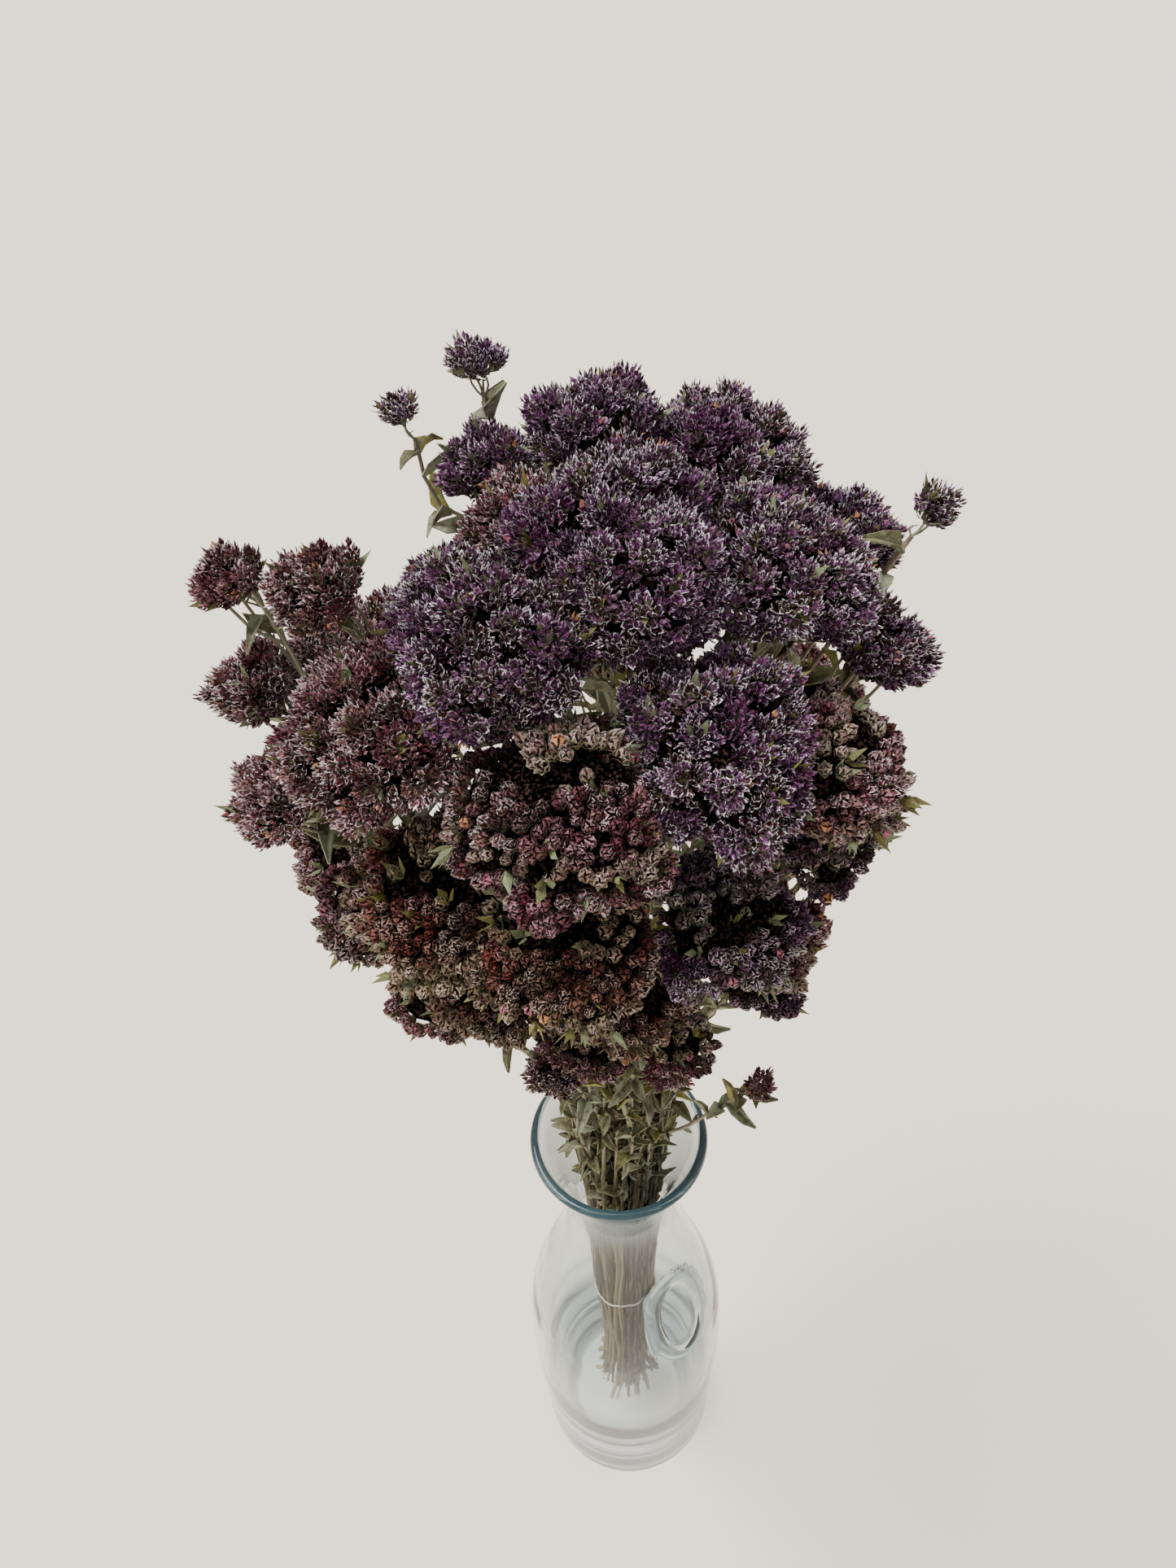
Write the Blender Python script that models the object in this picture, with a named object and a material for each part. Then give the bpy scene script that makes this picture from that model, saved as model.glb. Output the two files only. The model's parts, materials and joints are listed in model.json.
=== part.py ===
"""A bunch of dried flowering oregano, standing in a clear glass carafe.

Metres, +Z up. The origin is the centre of the carafe's base, on the surface that it stands on,
and the front of the bunch faces -Y. Azimuth is measured from the front, positive towards +X.
"""

import math
import random

import bmesh
import bpy
import numpy as np
from mathutils import Matrix, Vector

MM = 0.001
CLEAR = 0.4 * MM  # space kept between neighbouring pieces

# Carafe
CARAFE_HEIGHT = 260 * MM
FOOT_RADIUS = 39.5 * MM
BELLY_RADIUS = 42 * MM
BELLY_HEIGHT = 85 * MM
NECK_RADIUS = 18.5 * MM
NECK_HEIGHT = 212 * MM
LIP_RADIUS = 31.5 * MM
LIP_BEAD = 1.8 * MM
HEEL_RADIUS = 5 * MM
WALL = 3 * MM
FLOOR = 10 * MM
GLASS_SIDES = 24
SHOULDER_SKEW = 1.5  # above 1 keeps the shoulder full before it falls to the neck
FLARE_POWER = 1.8
RING_AZIMUTH = math.radians(40)
RING_HEIGHT = 157 * MM
RING_HALF_WIDTH = 12 * MM
RING_HALF_HEIGHT = 21 * MM
RING_CORD = 1.1 * MM
RING_POINTS = 22

# Bundle of stems
GROUPS = 11
STEMS_IN_GROUP = 4
STEM = 1.0 * MM  # from the middle of a stem to its corner
STEM_TIP = 0.75 * MM
HUDDLE = 0.94 * MM  # from the middle of a group to its stems, where the tie presses them
WAIST_HEIGHT = 68 * MM
TIE_HEIGHT = 140 * MM
RIM_EXIT = 264 * MM
# height and spread of the bundle, as a multiple of its width at the waist
SPREAD = (
    (FLOOR + CLEAR, 1.72),
    (WAIST_HEIGHT, 1.0),
    (TIE_HEIGHT, 1.3),
    (NECK_HEIGHT, 1.55),
    (RIM_EXIT, 1.95),
)
TWIST = math.radians(24)  # of the whole bundle, from its cut ends to the rim
TRIM = 7 * MM  # how much shorter the shortest stem is cut
TIE_CORD = 0.8 * MM
TIE_SIDES = 18
FREE_BENDS = 5  # points on a stem between the rim and its head
BRANCH_BENDS = 3
COMB_ROUNDS = 140
SMOOTH_ROUNDS = 60
SEED = 11

# Flower heads
FLORET = 3.6 * MM  # how far a floret stands out of its bed
FLORET_PITCH = 6.7 * MM
UNDERSIDE_PITCH = 12 * MM
SUB_HEAD_AREA = 75 * MM * MM  # size squared of a head, for each round sub-head on it
UNDERSIDE_DEPTH = 0.42  # of a head's size, down to the point where its stem meets it
LEAN = 0.62  # how far a head at the full reach tips outwards
FULL_REACH = 70 * MM
TRIAL_DIRECTIONS = 1200
UNDERSIDE = -0.2  # directions that dip below this carry no florets

# Leaves
LEAF_LENGTH = 15 * MM
LEAF_WIDTH = 8 * MM
LEAF_THICKNESS = 0.7 * MM
LEAF_LEVELS = (275 * MM, 350 * MM)  # the leafy stretch of a stem
# half a leaf's outline, as shares of its length and width
LEAF_OUTLINE = ((0.0, 0.16), (0.34, 0.5), (0.72, 0.34), (1.0, 0.0))
DROOP = 0.45

# The heads as they stand: azimuth in degrees, reach and height of the middle, size, height of the
# dome for its size, tone. The front ones are seen, the back ones follow the same tiers.
CROWN = (
    (12, 15, 506, 37, 0.75, "violet"),
    (-32, 37, 500, 32, 0.75, "violet"),
    (24, 50, 488, 30, 0.70, "violet"),
    (69, 38, 502, 28, 0.75, "violet"),
    (-112, 14, 507, 21, 0.70, "wine"),
    (-50, 57, 488, 28, 0.70, "wine"),
    (98, 54, 498, 19, 0.75, "violet"),
    (127, 34, 508, 28, 0.75, "violet"),
    (175, 23, 510, 29, 0.80, "violet"),
    (218, 33, 508, 18, 0.80, "violet"),
)
UPPER_RING = (
    (-10, 54, 483, 31, 0.68, "wine"),
    (44, 58, 478, 25, 0.65, "wine"),
    (72, 60, 487, 18, 0.75, "violet"),
    (112, 53, 473, 25, 0.70, "violet"),
    (172, 57, 468, 33, 0.70, "wine"),
    (225, 38, 474, 27, 0.70, "violet"),
    (-96, 57, 470, 27, 0.65, "wine"),
)
TIERS = (
    (-8, 63, 455, 28, 0.50, "russet"),
    (-36, 63, 454, 26, 0.50, "russet"),
    (20, 63, 452, 24, 0.50, "violet"),
    (48, 60, 456, 21, 0.60, "violet"),
    (2, 57, 428, 22, 0.50, "russet"),
    (36, 58, 432, 20, 0.60, "wine"),
    (-56, 64, 436, 22, 0.55, "wine"),
    (-28, 55, 420, 22, 0.50, "russet"),
    (76, 57, 439, 22, 0.60, "wine"),
    (125, 61, 428, 31, 0.60, "wine"),
    (180, 61, 426, 31, 0.60, "wine"),
    (235, 61, 428, 31, 0.60, "wine"),
    (-84, 63, 428, 23, 0.60, "wine"),
)
SKIRT = (
    (14, 50, 398, 18, 0.60, "wine"),
    (-10, 46, 390, 17, 0.60, "wine"),
    (-51, 56, 398, 19, 0.60, "wine"),
    (38, 53, 408, 18, 0.60, "violet"),
    (22, 35, 356, 14, 0.70, "wine"),
    (115, 44, 384, 21, 0.60, "wine"),
    (180, 44, 382, 21, 0.60, "wine"),
    (242, 46, 384, 21, 0.60, "wine"),
)
SPRIGS = (
    (-90, 75, 500, 15, 0.90, "wine"),
    (-76, 56, 506, 17, 0.85, "wine"),
    (-86, 76, 475, 18, 0.80, "wine"),
    (-64, 74, 468, 18, 0.80, "wine"),
    (88, 68, 509, 10, 1.00, "violet"),
    (-150, 47, 525, 12, 0.85, "violet"),
)
# Sprigs on side branches, each with the height at which it leaves the stem nearest to it.
BRANCHED = (
    ((-126, 48, 521, 9, 0.90, "violet"), 470),
    ((46, 54, 351, 9, 0.90, "wine"), 276),
    ((-24, 37, 358, 15, 0.70, "wine"), 300),
)
TONES = {
    "violet": ((0.105, 0.070, 0.125), 0.85),
    "wine": ((0.130, 0.050, 0.065), 0.85),
    "russet": ((0.190, 0.095, 0.070), 0.85),
}
STEM_COLOUR = ((0.330, 0.285, 0.200), 0.75)
TIE_COLOUR = ((0.600, 0.560, 0.460), 0.70)
GLASS_COLOUR = ((0.780, 0.880, 0.880), 0.05)


def material(name, colour, roughness):
    """A plain finish for one kind of piece."""
    made = bpy.data.materials.new(name)
    made.use_nodes = True
    shader = made.node_tree.nodes["Principled BSDF"]
    shader.inputs["Base Color"].default_value = (*colour, 1.0)
    shader.inputs["Roughness"].default_value = roughness
    shader.inputs["Metallic"].default_value = 0.0
    return made


def new_object(name, mesh, finish, collection=None):
    """Links a mesh to the scene, or to a collection, as a named object."""
    made = bpy.data.objects.new(name, mesh)
    made.data.materials.clear()
    made.data.materials.append(finish)
    (collection or bpy.context.scene.collection).objects.link(made)
    return made


def mesh_of(points, faces, name):
    """A mesh with its faces turned outwards."""
    mesh = bpy.data.meshes.new(name)
    mesh.from_pydata([tuple(p) for p in points], [], faces)
    work = bmesh.new()
    work.from_mesh(mesh)
    bmesh.ops.recalc_face_normals(work, faces=work.faces)
    work.to_mesh(mesh)
    work.free()
    return mesh


def united(name, meshes, finish):
    """Joins meshes that run into each other into one body."""
    parts = bpy.data.collections.new(name + "_parts")
    bpy.context.scene.collection.children.link(parts)
    first = new_object(name, meshes[0], finish)
    for k, mesh in enumerate(meshes[1:]):
        new_object(f"{name}_part_{k}", mesh, finish, parts)
    union = first.modifiers.new("union", "BOOLEAN")
    union.operation = "UNION"
    union.operand_type = "COLLECTION"
    union.collection = parts
    union.solver = "EXACT"
    bpy.context.view_layer.update()
    solved = first.evaluated_get(bpy.context.evaluated_depsgraph_get())
    joined = bpy.data.meshes.new_from_object(solved)
    first.modifiers.clear()
    first.data = joined
    for spare in list(parts.objects):
        bpy.data.objects.remove(spare)
    bpy.data.collections.remove(parts)
    return first


def tube(path, radii, sides, turn=0.0):
    """A closed tube with flat ends along a path, its sections square to it."""
    path = [Vector(p) for p in path]
    points, faces = [], []
    last = len(path) - 1
    across = Vector((math.cos(turn), math.sin(turn), 0))
    for k, middle in enumerate(path):
        along = (path[min(k + 1, last)] - path[max(k - 1, 0)]).normalized()
        across = (across - along * across.dot(along)).normalized()
        other = along.cross(across)
        for s in range(sides):
            a = 2 * math.pi * s / sides
            points.append(middle + (across * math.cos(a) + other * math.sin(a)) * radii[k])
    for k in range(last):
        for s in range(sides):
            t = (s + 1) % sides
            faces.append((k * sides + s, k * sides + t, (k + 1) * sides + t, (k + 1) * sides + s))
    faces.append(tuple(range(sides)))
    faces.append(tuple(last * sides + s for s in range(sides)))
    return mesh_of(points, faces, "tube")


def ring(path, radius, sides):
    """A closed loop of cord through a round of points."""
    path = [Vector(p) for p in path]
    count = len(path)
    middle = sum(path, Vector()) / count
    points, faces = [], []
    for k in range(count):
        along = (path[(k + 1) % count] - path[k - 1]).normalized()
        out = path[k] - middle
        out = (out - along * out.dot(along)).normalized()
        other = along.cross(out)
        for s in range(sides):
            a = 2 * math.pi * (s + 0.5) / sides
            points.append(path[k] + (out * math.cos(a) + other * math.sin(a)) * radius)
    for k in range(count):
        for s in range(sides):
            n, t = (k + 1) % count, (s + 1) % sides
            faces.append((k * sides + s, k * sides + t, n * sides + t, n * sides + s))
    return mesh_of(points, faces, "ring")


def place(azimuth, reach, height):
    """The point at an azimuth from the front, a reach from the axis and a height."""
    return Vector((reach * math.sin(azimuth), -reach * math.cos(azimuth), height))


def ease(t):
    return (1 - math.cos(math.pi * t)) / 2


def glass_radius(height):
    """The carafe's outer radius between its heel and its lip."""
    if height <= BELLY_HEIGHT:
        return FOOT_RADIUS + (BELLY_RADIUS - FOOT_RADIUS) * height / BELLY_HEIGHT
    if height <= NECK_HEIGHT:
        t = (height - BELLY_HEIGHT) / (NECK_HEIGHT - BELLY_HEIGHT)
        return BELLY_RADIUS + (NECK_RADIUS - BELLY_RADIUS) * ease(t**SHOULDER_SKEW)
    t = (height - NECK_HEIGHT) / (CARAFE_HEIGHT - LIP_BEAD - NECK_HEIGHT)
    return NECK_RADIUS + (LIP_RADIUS - NECK_RADIUS) * t**FLARE_POWER


def carafe_profile():
    """Radius and height, from the foot up the outside, round the lip and down the inside."""
    heel = [
        (FOOT_RADIUS - HEEL_RADIUS * (1 - math.sin(a)), HEEL_RADIUS * (1 - math.cos(a)))
        for a in np.linspace(0, math.pi / 2, 3)
    ]
    top = CARAFE_HEIGHT - LIP_BEAD
    levels = [0.5 * BELLY_HEIGHT, BELLY_HEIGHT]
    levels += list(np.linspace(BELLY_HEIGHT, NECK_HEIGHT, 5)[1:])
    levels += list(np.linspace(NECK_HEIGHT, top, 4)[1:])
    outside = [(glass_radius(z), z) for z in levels]
    bead = [
        (LIP_RADIUS - LIP_BEAD + LIP_BEAD * math.cos(a), top + LIP_BEAD * math.sin(a))
        for a in (math.pi / 4, math.pi / 2, math.pi * 3 / 4)
    ]
    inside = [(glass_radius(z) - WALL, z) for z in reversed(levels[:-1])]
    inside += [(FOOT_RADIUS - WALL, FLOOR + HEEL_RADIUS), (FOOT_RADIUS - WALL - HEEL_RADIUS, FLOOR)]
    return heel + outside + bead + inside


def turned(profile, foot, floor, sides):
    """Turns the profile round the axis and closes it at the foot's and the floor's middle."""
    points = [Vector((0, 0, foot)), Vector((0, 0, floor))]
    for radius, height in profile:
        points += [place(2 * math.pi * s / sides, radius, height) for s in range(sides)]
    faces = []
    for s in range(sides):
        t = (s + 1) % sides
        for k in range(len(profile) - 1):
            a, b = 2 + k * sides, 2 + (k + 1) * sides
            faces.append((a + s, a + t, b + t, b + s))
        faces.append((0, 2 + s, 2 + t))
        end = 2 + (len(profile) - 1) * sides
        faces.append((1, end + s, end + t))
    return mesh_of(points, faces, "turned")


def make_carafe(finish):
    """The glass, with a plain raised oval on its shoulder."""
    body = turned(carafe_profile(), 0.0, FLOOR, GLASS_SIDES)
    oval = []
    for k in range(RING_POINTS):
        a = 2 * math.pi * k / RING_POINTS
        height = RING_HEIGHT + RING_HALF_HEIGHT * math.sin(a)
        radius = glass_radius(height)
        oval.append(place(RING_AZIMUTH + RING_HALF_WIDTH * math.cos(a) / radius, radius, height))
    carafe = united("carafe", [body, ring(oval, RING_CORD, 5)], finish)
    carafe.data.shade_smooth()
    carafe.data.set_sharp_from_angle(angle=math.radians(40))
    return carafe


def hexagonal(count):
    """The places nearest the middle of a hexagonal packing of pitch 1."""
    rows = range(-4, 5)
    places = [Vector((i + j / 2 + 0.5, (j + 1 / 3) * math.sqrt(3) / 2)) for i in rows for j in rows]
    places.sort(key=lambda p: (round(p.length, 6), round(math.atan2(p.y, p.x), 6)))
    return places[:count]


def bundle_point(spot, height):
    """Where a stem that stands at spot at the waist is at another height."""
    levels, spreads = zip(*SPREAD)
    spread = float(np.interp(height, levels, spreads))
    turn = TWIST * (height - WAIST_HEIGHT) / (RIM_EXIT - levels[0])
    x = spread * (spot.x * math.cos(turn) - spot.y * math.sin(turn))
    y = spread * (spot.x * math.sin(turn) + spot.y * math.cos(turn))
    return Vector((x, y, height))


def bundle_spots():
    """Where each stem stands at the waist, group by group."""
    pitch = 2 * (HUDDLE + STEM) + CLEAR
    spots = []
    for group, middle in enumerate(hexagonal(GROUPS)):
        turn = 0.37 * group
        for k in range(STEMS_IN_GROUP):
            a = 2 * math.pi * (k + turn) / STEMS_IN_GROUP
            spots.append(middle * pitch + Vector((math.cos(a), math.sin(a))) * HUDDLE)
    return spots


class Head:
    """One flower head's place and size."""

    def __init__(self, row):
        azimuth, reach, height, size, flatness, tone = row
        out = math.radians(azimuth)
        self.middle = place(out, reach * MM, height * MM)
        self.size = size * MM
        self.dome = size * MM * flatness
        self.tone = tone
        lean = LEAN * reach * MM / FULL_REACH
        self.axis = (Vector((0, 0, 1)) + place(out, lean, 0)).normalized()
        self.depth = UNDERSIDE_DEPTH * min(self.size, 1.5 * self.dome)
        self.seat = self.middle - self.axis * (self.depth + CLEAR)


def matched(spots, heads):
    """Gives every stem the head that it reaches without crossing the others."""
    goals = [Vector((h.seat.x, h.seat.y)) / (h.seat.z - WAIST_HEIGHT) for h in heads]
    starts = []
    for spot in spots:
        p = bundle_point(spot, RIM_EXIT)
        starts.append(Vector((p.x, p.y)))
    order = list(range(len(heads)))
    scale = max(g.length for g in goals) / max(s.length for s in starts)
    improved = True
    while improved:
        improved = False
        for i in range(len(order)):
            for j in range(i + 1, len(order)):
                now = (starts[i] * scale - goals[order[i]]).length_squared
                now += (starts[j] * scale - goals[order[j]]).length_squared
                other = (starts[i] * scale - goals[order[j]]).length_squared
                other += (starts[j] * scale - goals[order[i]]).length_squared
                if other < now - 1e-12:
                    order[i], order[j] = order[j], order[i]
                    improved = True
    return order


def bend(start, rise, end, arrival, count):
    """Points on a smooth bend from a start to an end, without the start itself."""
    reach = (end - start).length / 3
    p1, p2 = start + rise * reach, end - arrival * reach
    points = []
    for k in range(1, count + 1):
        t = k / count
        s = 1 - t
        points.append(start * s**3 + p1 * 3 * t * s * s + p2 * 3 * t * t * s + end * t**3)
    return points


def at_height(path, height):
    """The point of a rising path at a height, or its end where it stops short."""
    for a, b in zip(path, path[1:]):
        if b.z >= height:
            return a.lerp(b, max(0, (height - a.z) / (b.z - a.z)))
    return path[-1].copy()


def pushed(point, others, reach):
    """The push on a point from the others that lie nearer to it than their reach."""
    away = point - others
    gap = np.linalg.norm(away, axis=1)
    short = np.maximum(reach - gap, 0)
    return (away * (short / np.maximum(gap, 1e-9))[:, None]).sum(0)


def combed(paths, owners, heads):
    """Pushes the free stretches of stems apart, and first of all off the middles of other heads.

    A path is a list of points whose first and last are held. Owners are the heads that they carry.
    """
    steps = 6
    pitch = 2.4 * (STEM + CLEAR)
    share = (np.arange(steps) + 0.5) / steps
    path_of = np.repeat([p for p, path in enumerate(paths) for _ in path[1:]], steps)
    work = [np.array([tuple(v) for v in path]) for path in paths]
    middles = np.array([tuple(h.middle) for h in heads])
    keep_off = np.array([0.5 * h.size + 2 * STEM for h in heads])
    for turn in range(COMB_ROUNDS + SMOOTH_ROUNDS):
        samples = []
        for w in work:
            between = w[:-1, None] * (1 - share)[:, None] + w[1:, None] * share[:, None]
            samples += list(between.reshape(-1, 3))
        samples = np.array(samples)
        push = np.zeros_like(samples)
        for k, point in enumerate(samples):
            mine = path_of == path_of[k]
            push[k] = 0.7 * pushed(point, samples, np.where(mine, 0, pitch))
            if turn < COMB_ROUNDS:
                own = np.arange(len(heads)) == owners[path_of[k]]
                push[k] += pushed(point, middles, np.where(own, 0, keep_off))
        at = 0
        for w in work:
            count = (len(w) - 1) * steps
            mine = push[at : at + count].reshape(len(w) - 1, steps, 3)
            move = np.zeros_like(w)
            move[:-1] += (mine * (1 - share)[None, :, None]).mean(1)
            move[1:] += (mine * share[None, :, None]).mean(1)
            move[0] = move[-1] = 0
            w += move * 1.8
            at += count
    return [[Vector(p) for p in w] for w in work]


def exit_direction(spot):
    """The way a stem points as it leaves the rim."""
    return (bundle_point(spot, RIM_EXIT) - bundle_point(spot, NECK_HEIGHT)).normalized()


def leaf(root, out, up, length, width):
    """A thin arched blade, alike on both faces: pointed oval with a sunk rib."""
    side = out.cross(up).normalized()
    outline = LEAF_OUTLINE + tuple((along, -across) for along, across in LEAF_OUTLINE[-2::-1])
    top = []
    for along, across in outline:
        droop = DROOP * along * along * length
        curl = 0.5 * abs(across) * width
        top.append(root + out * (along * length) + side * (across * width) - up * (droop - curl))
    top.append(root + out * (0.5 * length) - up * (DROOP * 0.25 * length))
    count = len(outline)
    points = top + [p - up * LEAF_THICKNESS for p in top]
    faces = []
    for k in range(count):
        n = (k + 1) % count
        faces.append((k, n, count))
        faces.append((count + 1 + k, count + 1 + n, 2 * count + 1))
        faces.append((k, n, count + 1 + n, count + 1 + k))
    return points, faces


def segment_distances(points, path):
    """The least distance from any of the points to a path."""
    p = np.array([tuple(v) for v in points])
    q = np.array([tuple(v) for v in path])
    a, b = q[:-1], q[1:]
    ab = b - a
    t = np.einsum("pnk,nk->pn", p[:, None] - a[None], ab) / np.maximum((ab**2).sum(1), 1e-12)
    nearest = a[None] + np.clip(t, 0, 1)[..., None] * ab[None]
    return float(np.linalg.norm(p[:, None] - nearest, axis=2).min())


def grow_leaves(paths, rng):
    """A small leaf on each outer stem above the rim, turned to where it clears what is round it."""
    leaves, taken = [], []
    for p, path in enumerate(paths):
        level = rng.uniform(*LEAF_LEVELS)
        if path[-1].z < level + LEAF_LENGTH or path[0].z > level:
            continue
        root = at_height(path, level)
        along = (at_height(path, level + 3 * MM) - root).normalized()
        away = Vector((root.x, root.y, 0)).normalized()
        size = rng.uniform(0.8, 1.2)
        rise = rng.uniform(0.2, 0.9)
        for swing in (0.0, 0.5, -0.5, 1.0, -1.0, 1.5, -1.5):
            out = (Matrix.Rotation(swing, 3, "Z") @ away + along * rise).normalized()
            up = (along - out * along.dot(out)).normalized()
            points, faces = leaf(root - out * 0.2 * MM, out, up, LEAF_LENGTH * size, LEAF_WIDTH * size)
            edge, rib = points[:7], points[7]
            probes = points + [edge[k].lerp(edge[k - 1], 0.5) for k in range(7)]
            probes += [v.lerp(rib, share) for v in edge for share in (0.33, 0.67)]
            far = [v for v in probes if (v - root).length > 3 * STEM]
            own = segment_distances(far, path) > STEM + 2 * CLEAR
            others = [other for q, other in enumerate(paths) if q != p]
            clear = all(segment_distances(probes, other) > STEM + 3 * CLEAR for other in others)
            apart = all(min((v - w).length for v in probes for w in old) > 3 * MM for old in taken)
            if own and clear and apart:
                leaves.append((p, points, faces))
                taken.append(probes)
                break
    return leaves


def sub_heads(head, rng):
    """The round sub-heads of one flower head, in its own frame: middle and radius."""
    size, dome = head.size - FLORET, head.dome - 0.6 * FLORET
    count = max(2, round(head.size**2 / SUB_HEAD_AREA))
    radius = min(size / math.sqrt(count) * 1.02, 0.95 * size)
    start = rng.uniform(0, 2 * math.pi)
    balls = []
    for k in range(count):
        down = math.radians(82) * math.sqrt((k + 0.5) / count)
        around = start + k * math.pi * (3 - math.sqrt(5))
        r = radius * rng.uniform(0.86, 1.12)
        wide, high = (size - r) * math.sin(down), max(dome - r, 0) * math.cos(down)
        balls.append((Vector((wide * math.cos(around), wide * math.sin(around), high)), r))
    return balls


def bed_reach(way, balls, head):
    """How far the bed of a head lies from its middle, in a given direction of its own frame."""
    reach = max(0.5 * head.dome, head.depth)
    for middle, radius in balls:
        along = way.dot(middle)
        inside = radius**2 - middle.length_squared + along**2
        if inside > 0:
            reach = max(reach, along + math.sqrt(inside))
    if way.z < 0:
        flat = math.hypot(way.x, way.y)
        reach = min(reach, head.depth / (-way.z + head.depth * flat / head.size))
    return reach


def sphere_points(count):
    """Directions spread evenly over a sphere."""
    ways = []
    for k in range(count):
        z = 1 - 2 * (k + 0.5) / count
        a = k * math.pi * (3 - math.sqrt(5))
        r = math.sqrt(1 - z * z)
        ways.append(Vector((r * math.cos(a), r * math.sin(a), z)))
    return ways


def floret_directions(balls, head):
    """Directions to the hollows between florets, a floret's pitch apart on the bed, and their net."""
    kept = [(Vector((0, 0, -1)), Vector((0, 0, -1)) * head.depth)]
    tops = [(middle + Vector((0, 0, 0.2 * radius))).normalized() for middle, radius in balls]
    for way in tops + sphere_points(TRIAL_DIRECTIONS):
        point = way * bed_reach(way, balls, head)
        pitch = FLORET_PITCH if way.z > UNDERSIDE else UNDERSIDE_PITCH
        pitch = min(pitch, 0.62 * head.size)
        if all((point - other).length > pitch for _, other in kept):
            kept.append((way, point))
    work = bmesh.new()
    for way, _ in kept:
        work.verts.new(way)
    work.verts.ensure_lookup_table()
    bmesh.ops.convex_hull(work, input=work.verts)
    work.verts.index_update()
    faces = [tuple(v.index for v in f.verts) for f in work.faces]
    ways = [v.co.normalized() for v in work.verts]
    work.free()
    return ways, faces


def make_head(name, head, walls, finish, rng):
    """One flower head: lumps of florets standing out of their bed, kept inside its own space.

    A wall is a direction and the distance from the head's middle that it must not pass that way.
    """
    balls = sub_heads(head, rng)
    ways, net = floret_directions(balls, head)
    reaches = [bed_reach(way, balls, head) for way in ways]
    faces = []
    for a, b, c in net:
        tip = (ways[a] + ways[b] + ways[c]).normalized()
        if tip.z < UNDERSIDE:
            faces.append((a, b, c))
            continue
        height = FLORET * rng.uniform(0.75, 1.2) * min(1, head.size / (14 * MM))
        reaches.append((reaches[a] + reaches[b] + reaches[c]) / 3 + height)
        ways.append(tip)
        t = len(ways) - 1
        faces += [(a, b, t), (b, c, t), (c, a, t)]
    frame = head.axis.to_track_quat("Z", "Y").to_matrix()
    points = []
    for way, reach in zip(ways, reaches):
        way = frame @ way
        for normal, distance in walls:
            lean = way.dot(normal)
            if lean > 1e-6:
                reach = min(reach, distance / lean)
        points.append(head.middle + way * reach)
    return new_object(name, mesh_of(points, faces, name), finish)


def head_walls(index, heads, rods):
    """The planes that part a head from its neighbours, and from the stems and leaves near it.

    A rod is a straight run of a stem, or a leaf's rib: the head it carries, its ends, its thickness.
    """
    me = heads[index]
    walls = []
    for other in heads:
        away = other.middle - me.middle
        gap = away.length
        if other is not me and gap < me.size + other.size + FLORET:
            split = gap * me.size / (me.size + other.size)
            walls.append((away / gap, split - CLEAR / 2))
    for carried, a, b, thickness in rods:
        if carried == index:
            continue
        t = (me.middle - a).dot(b - a) / (b - a).length_squared
        away = a.lerp(b, min(1, max(0, t))) - me.middle
        gap = away.length
        if gap < me.size + thickness + FLORET:
            walls.append((away / gap, gap - thickness - CLEAR))
    return walls


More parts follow.
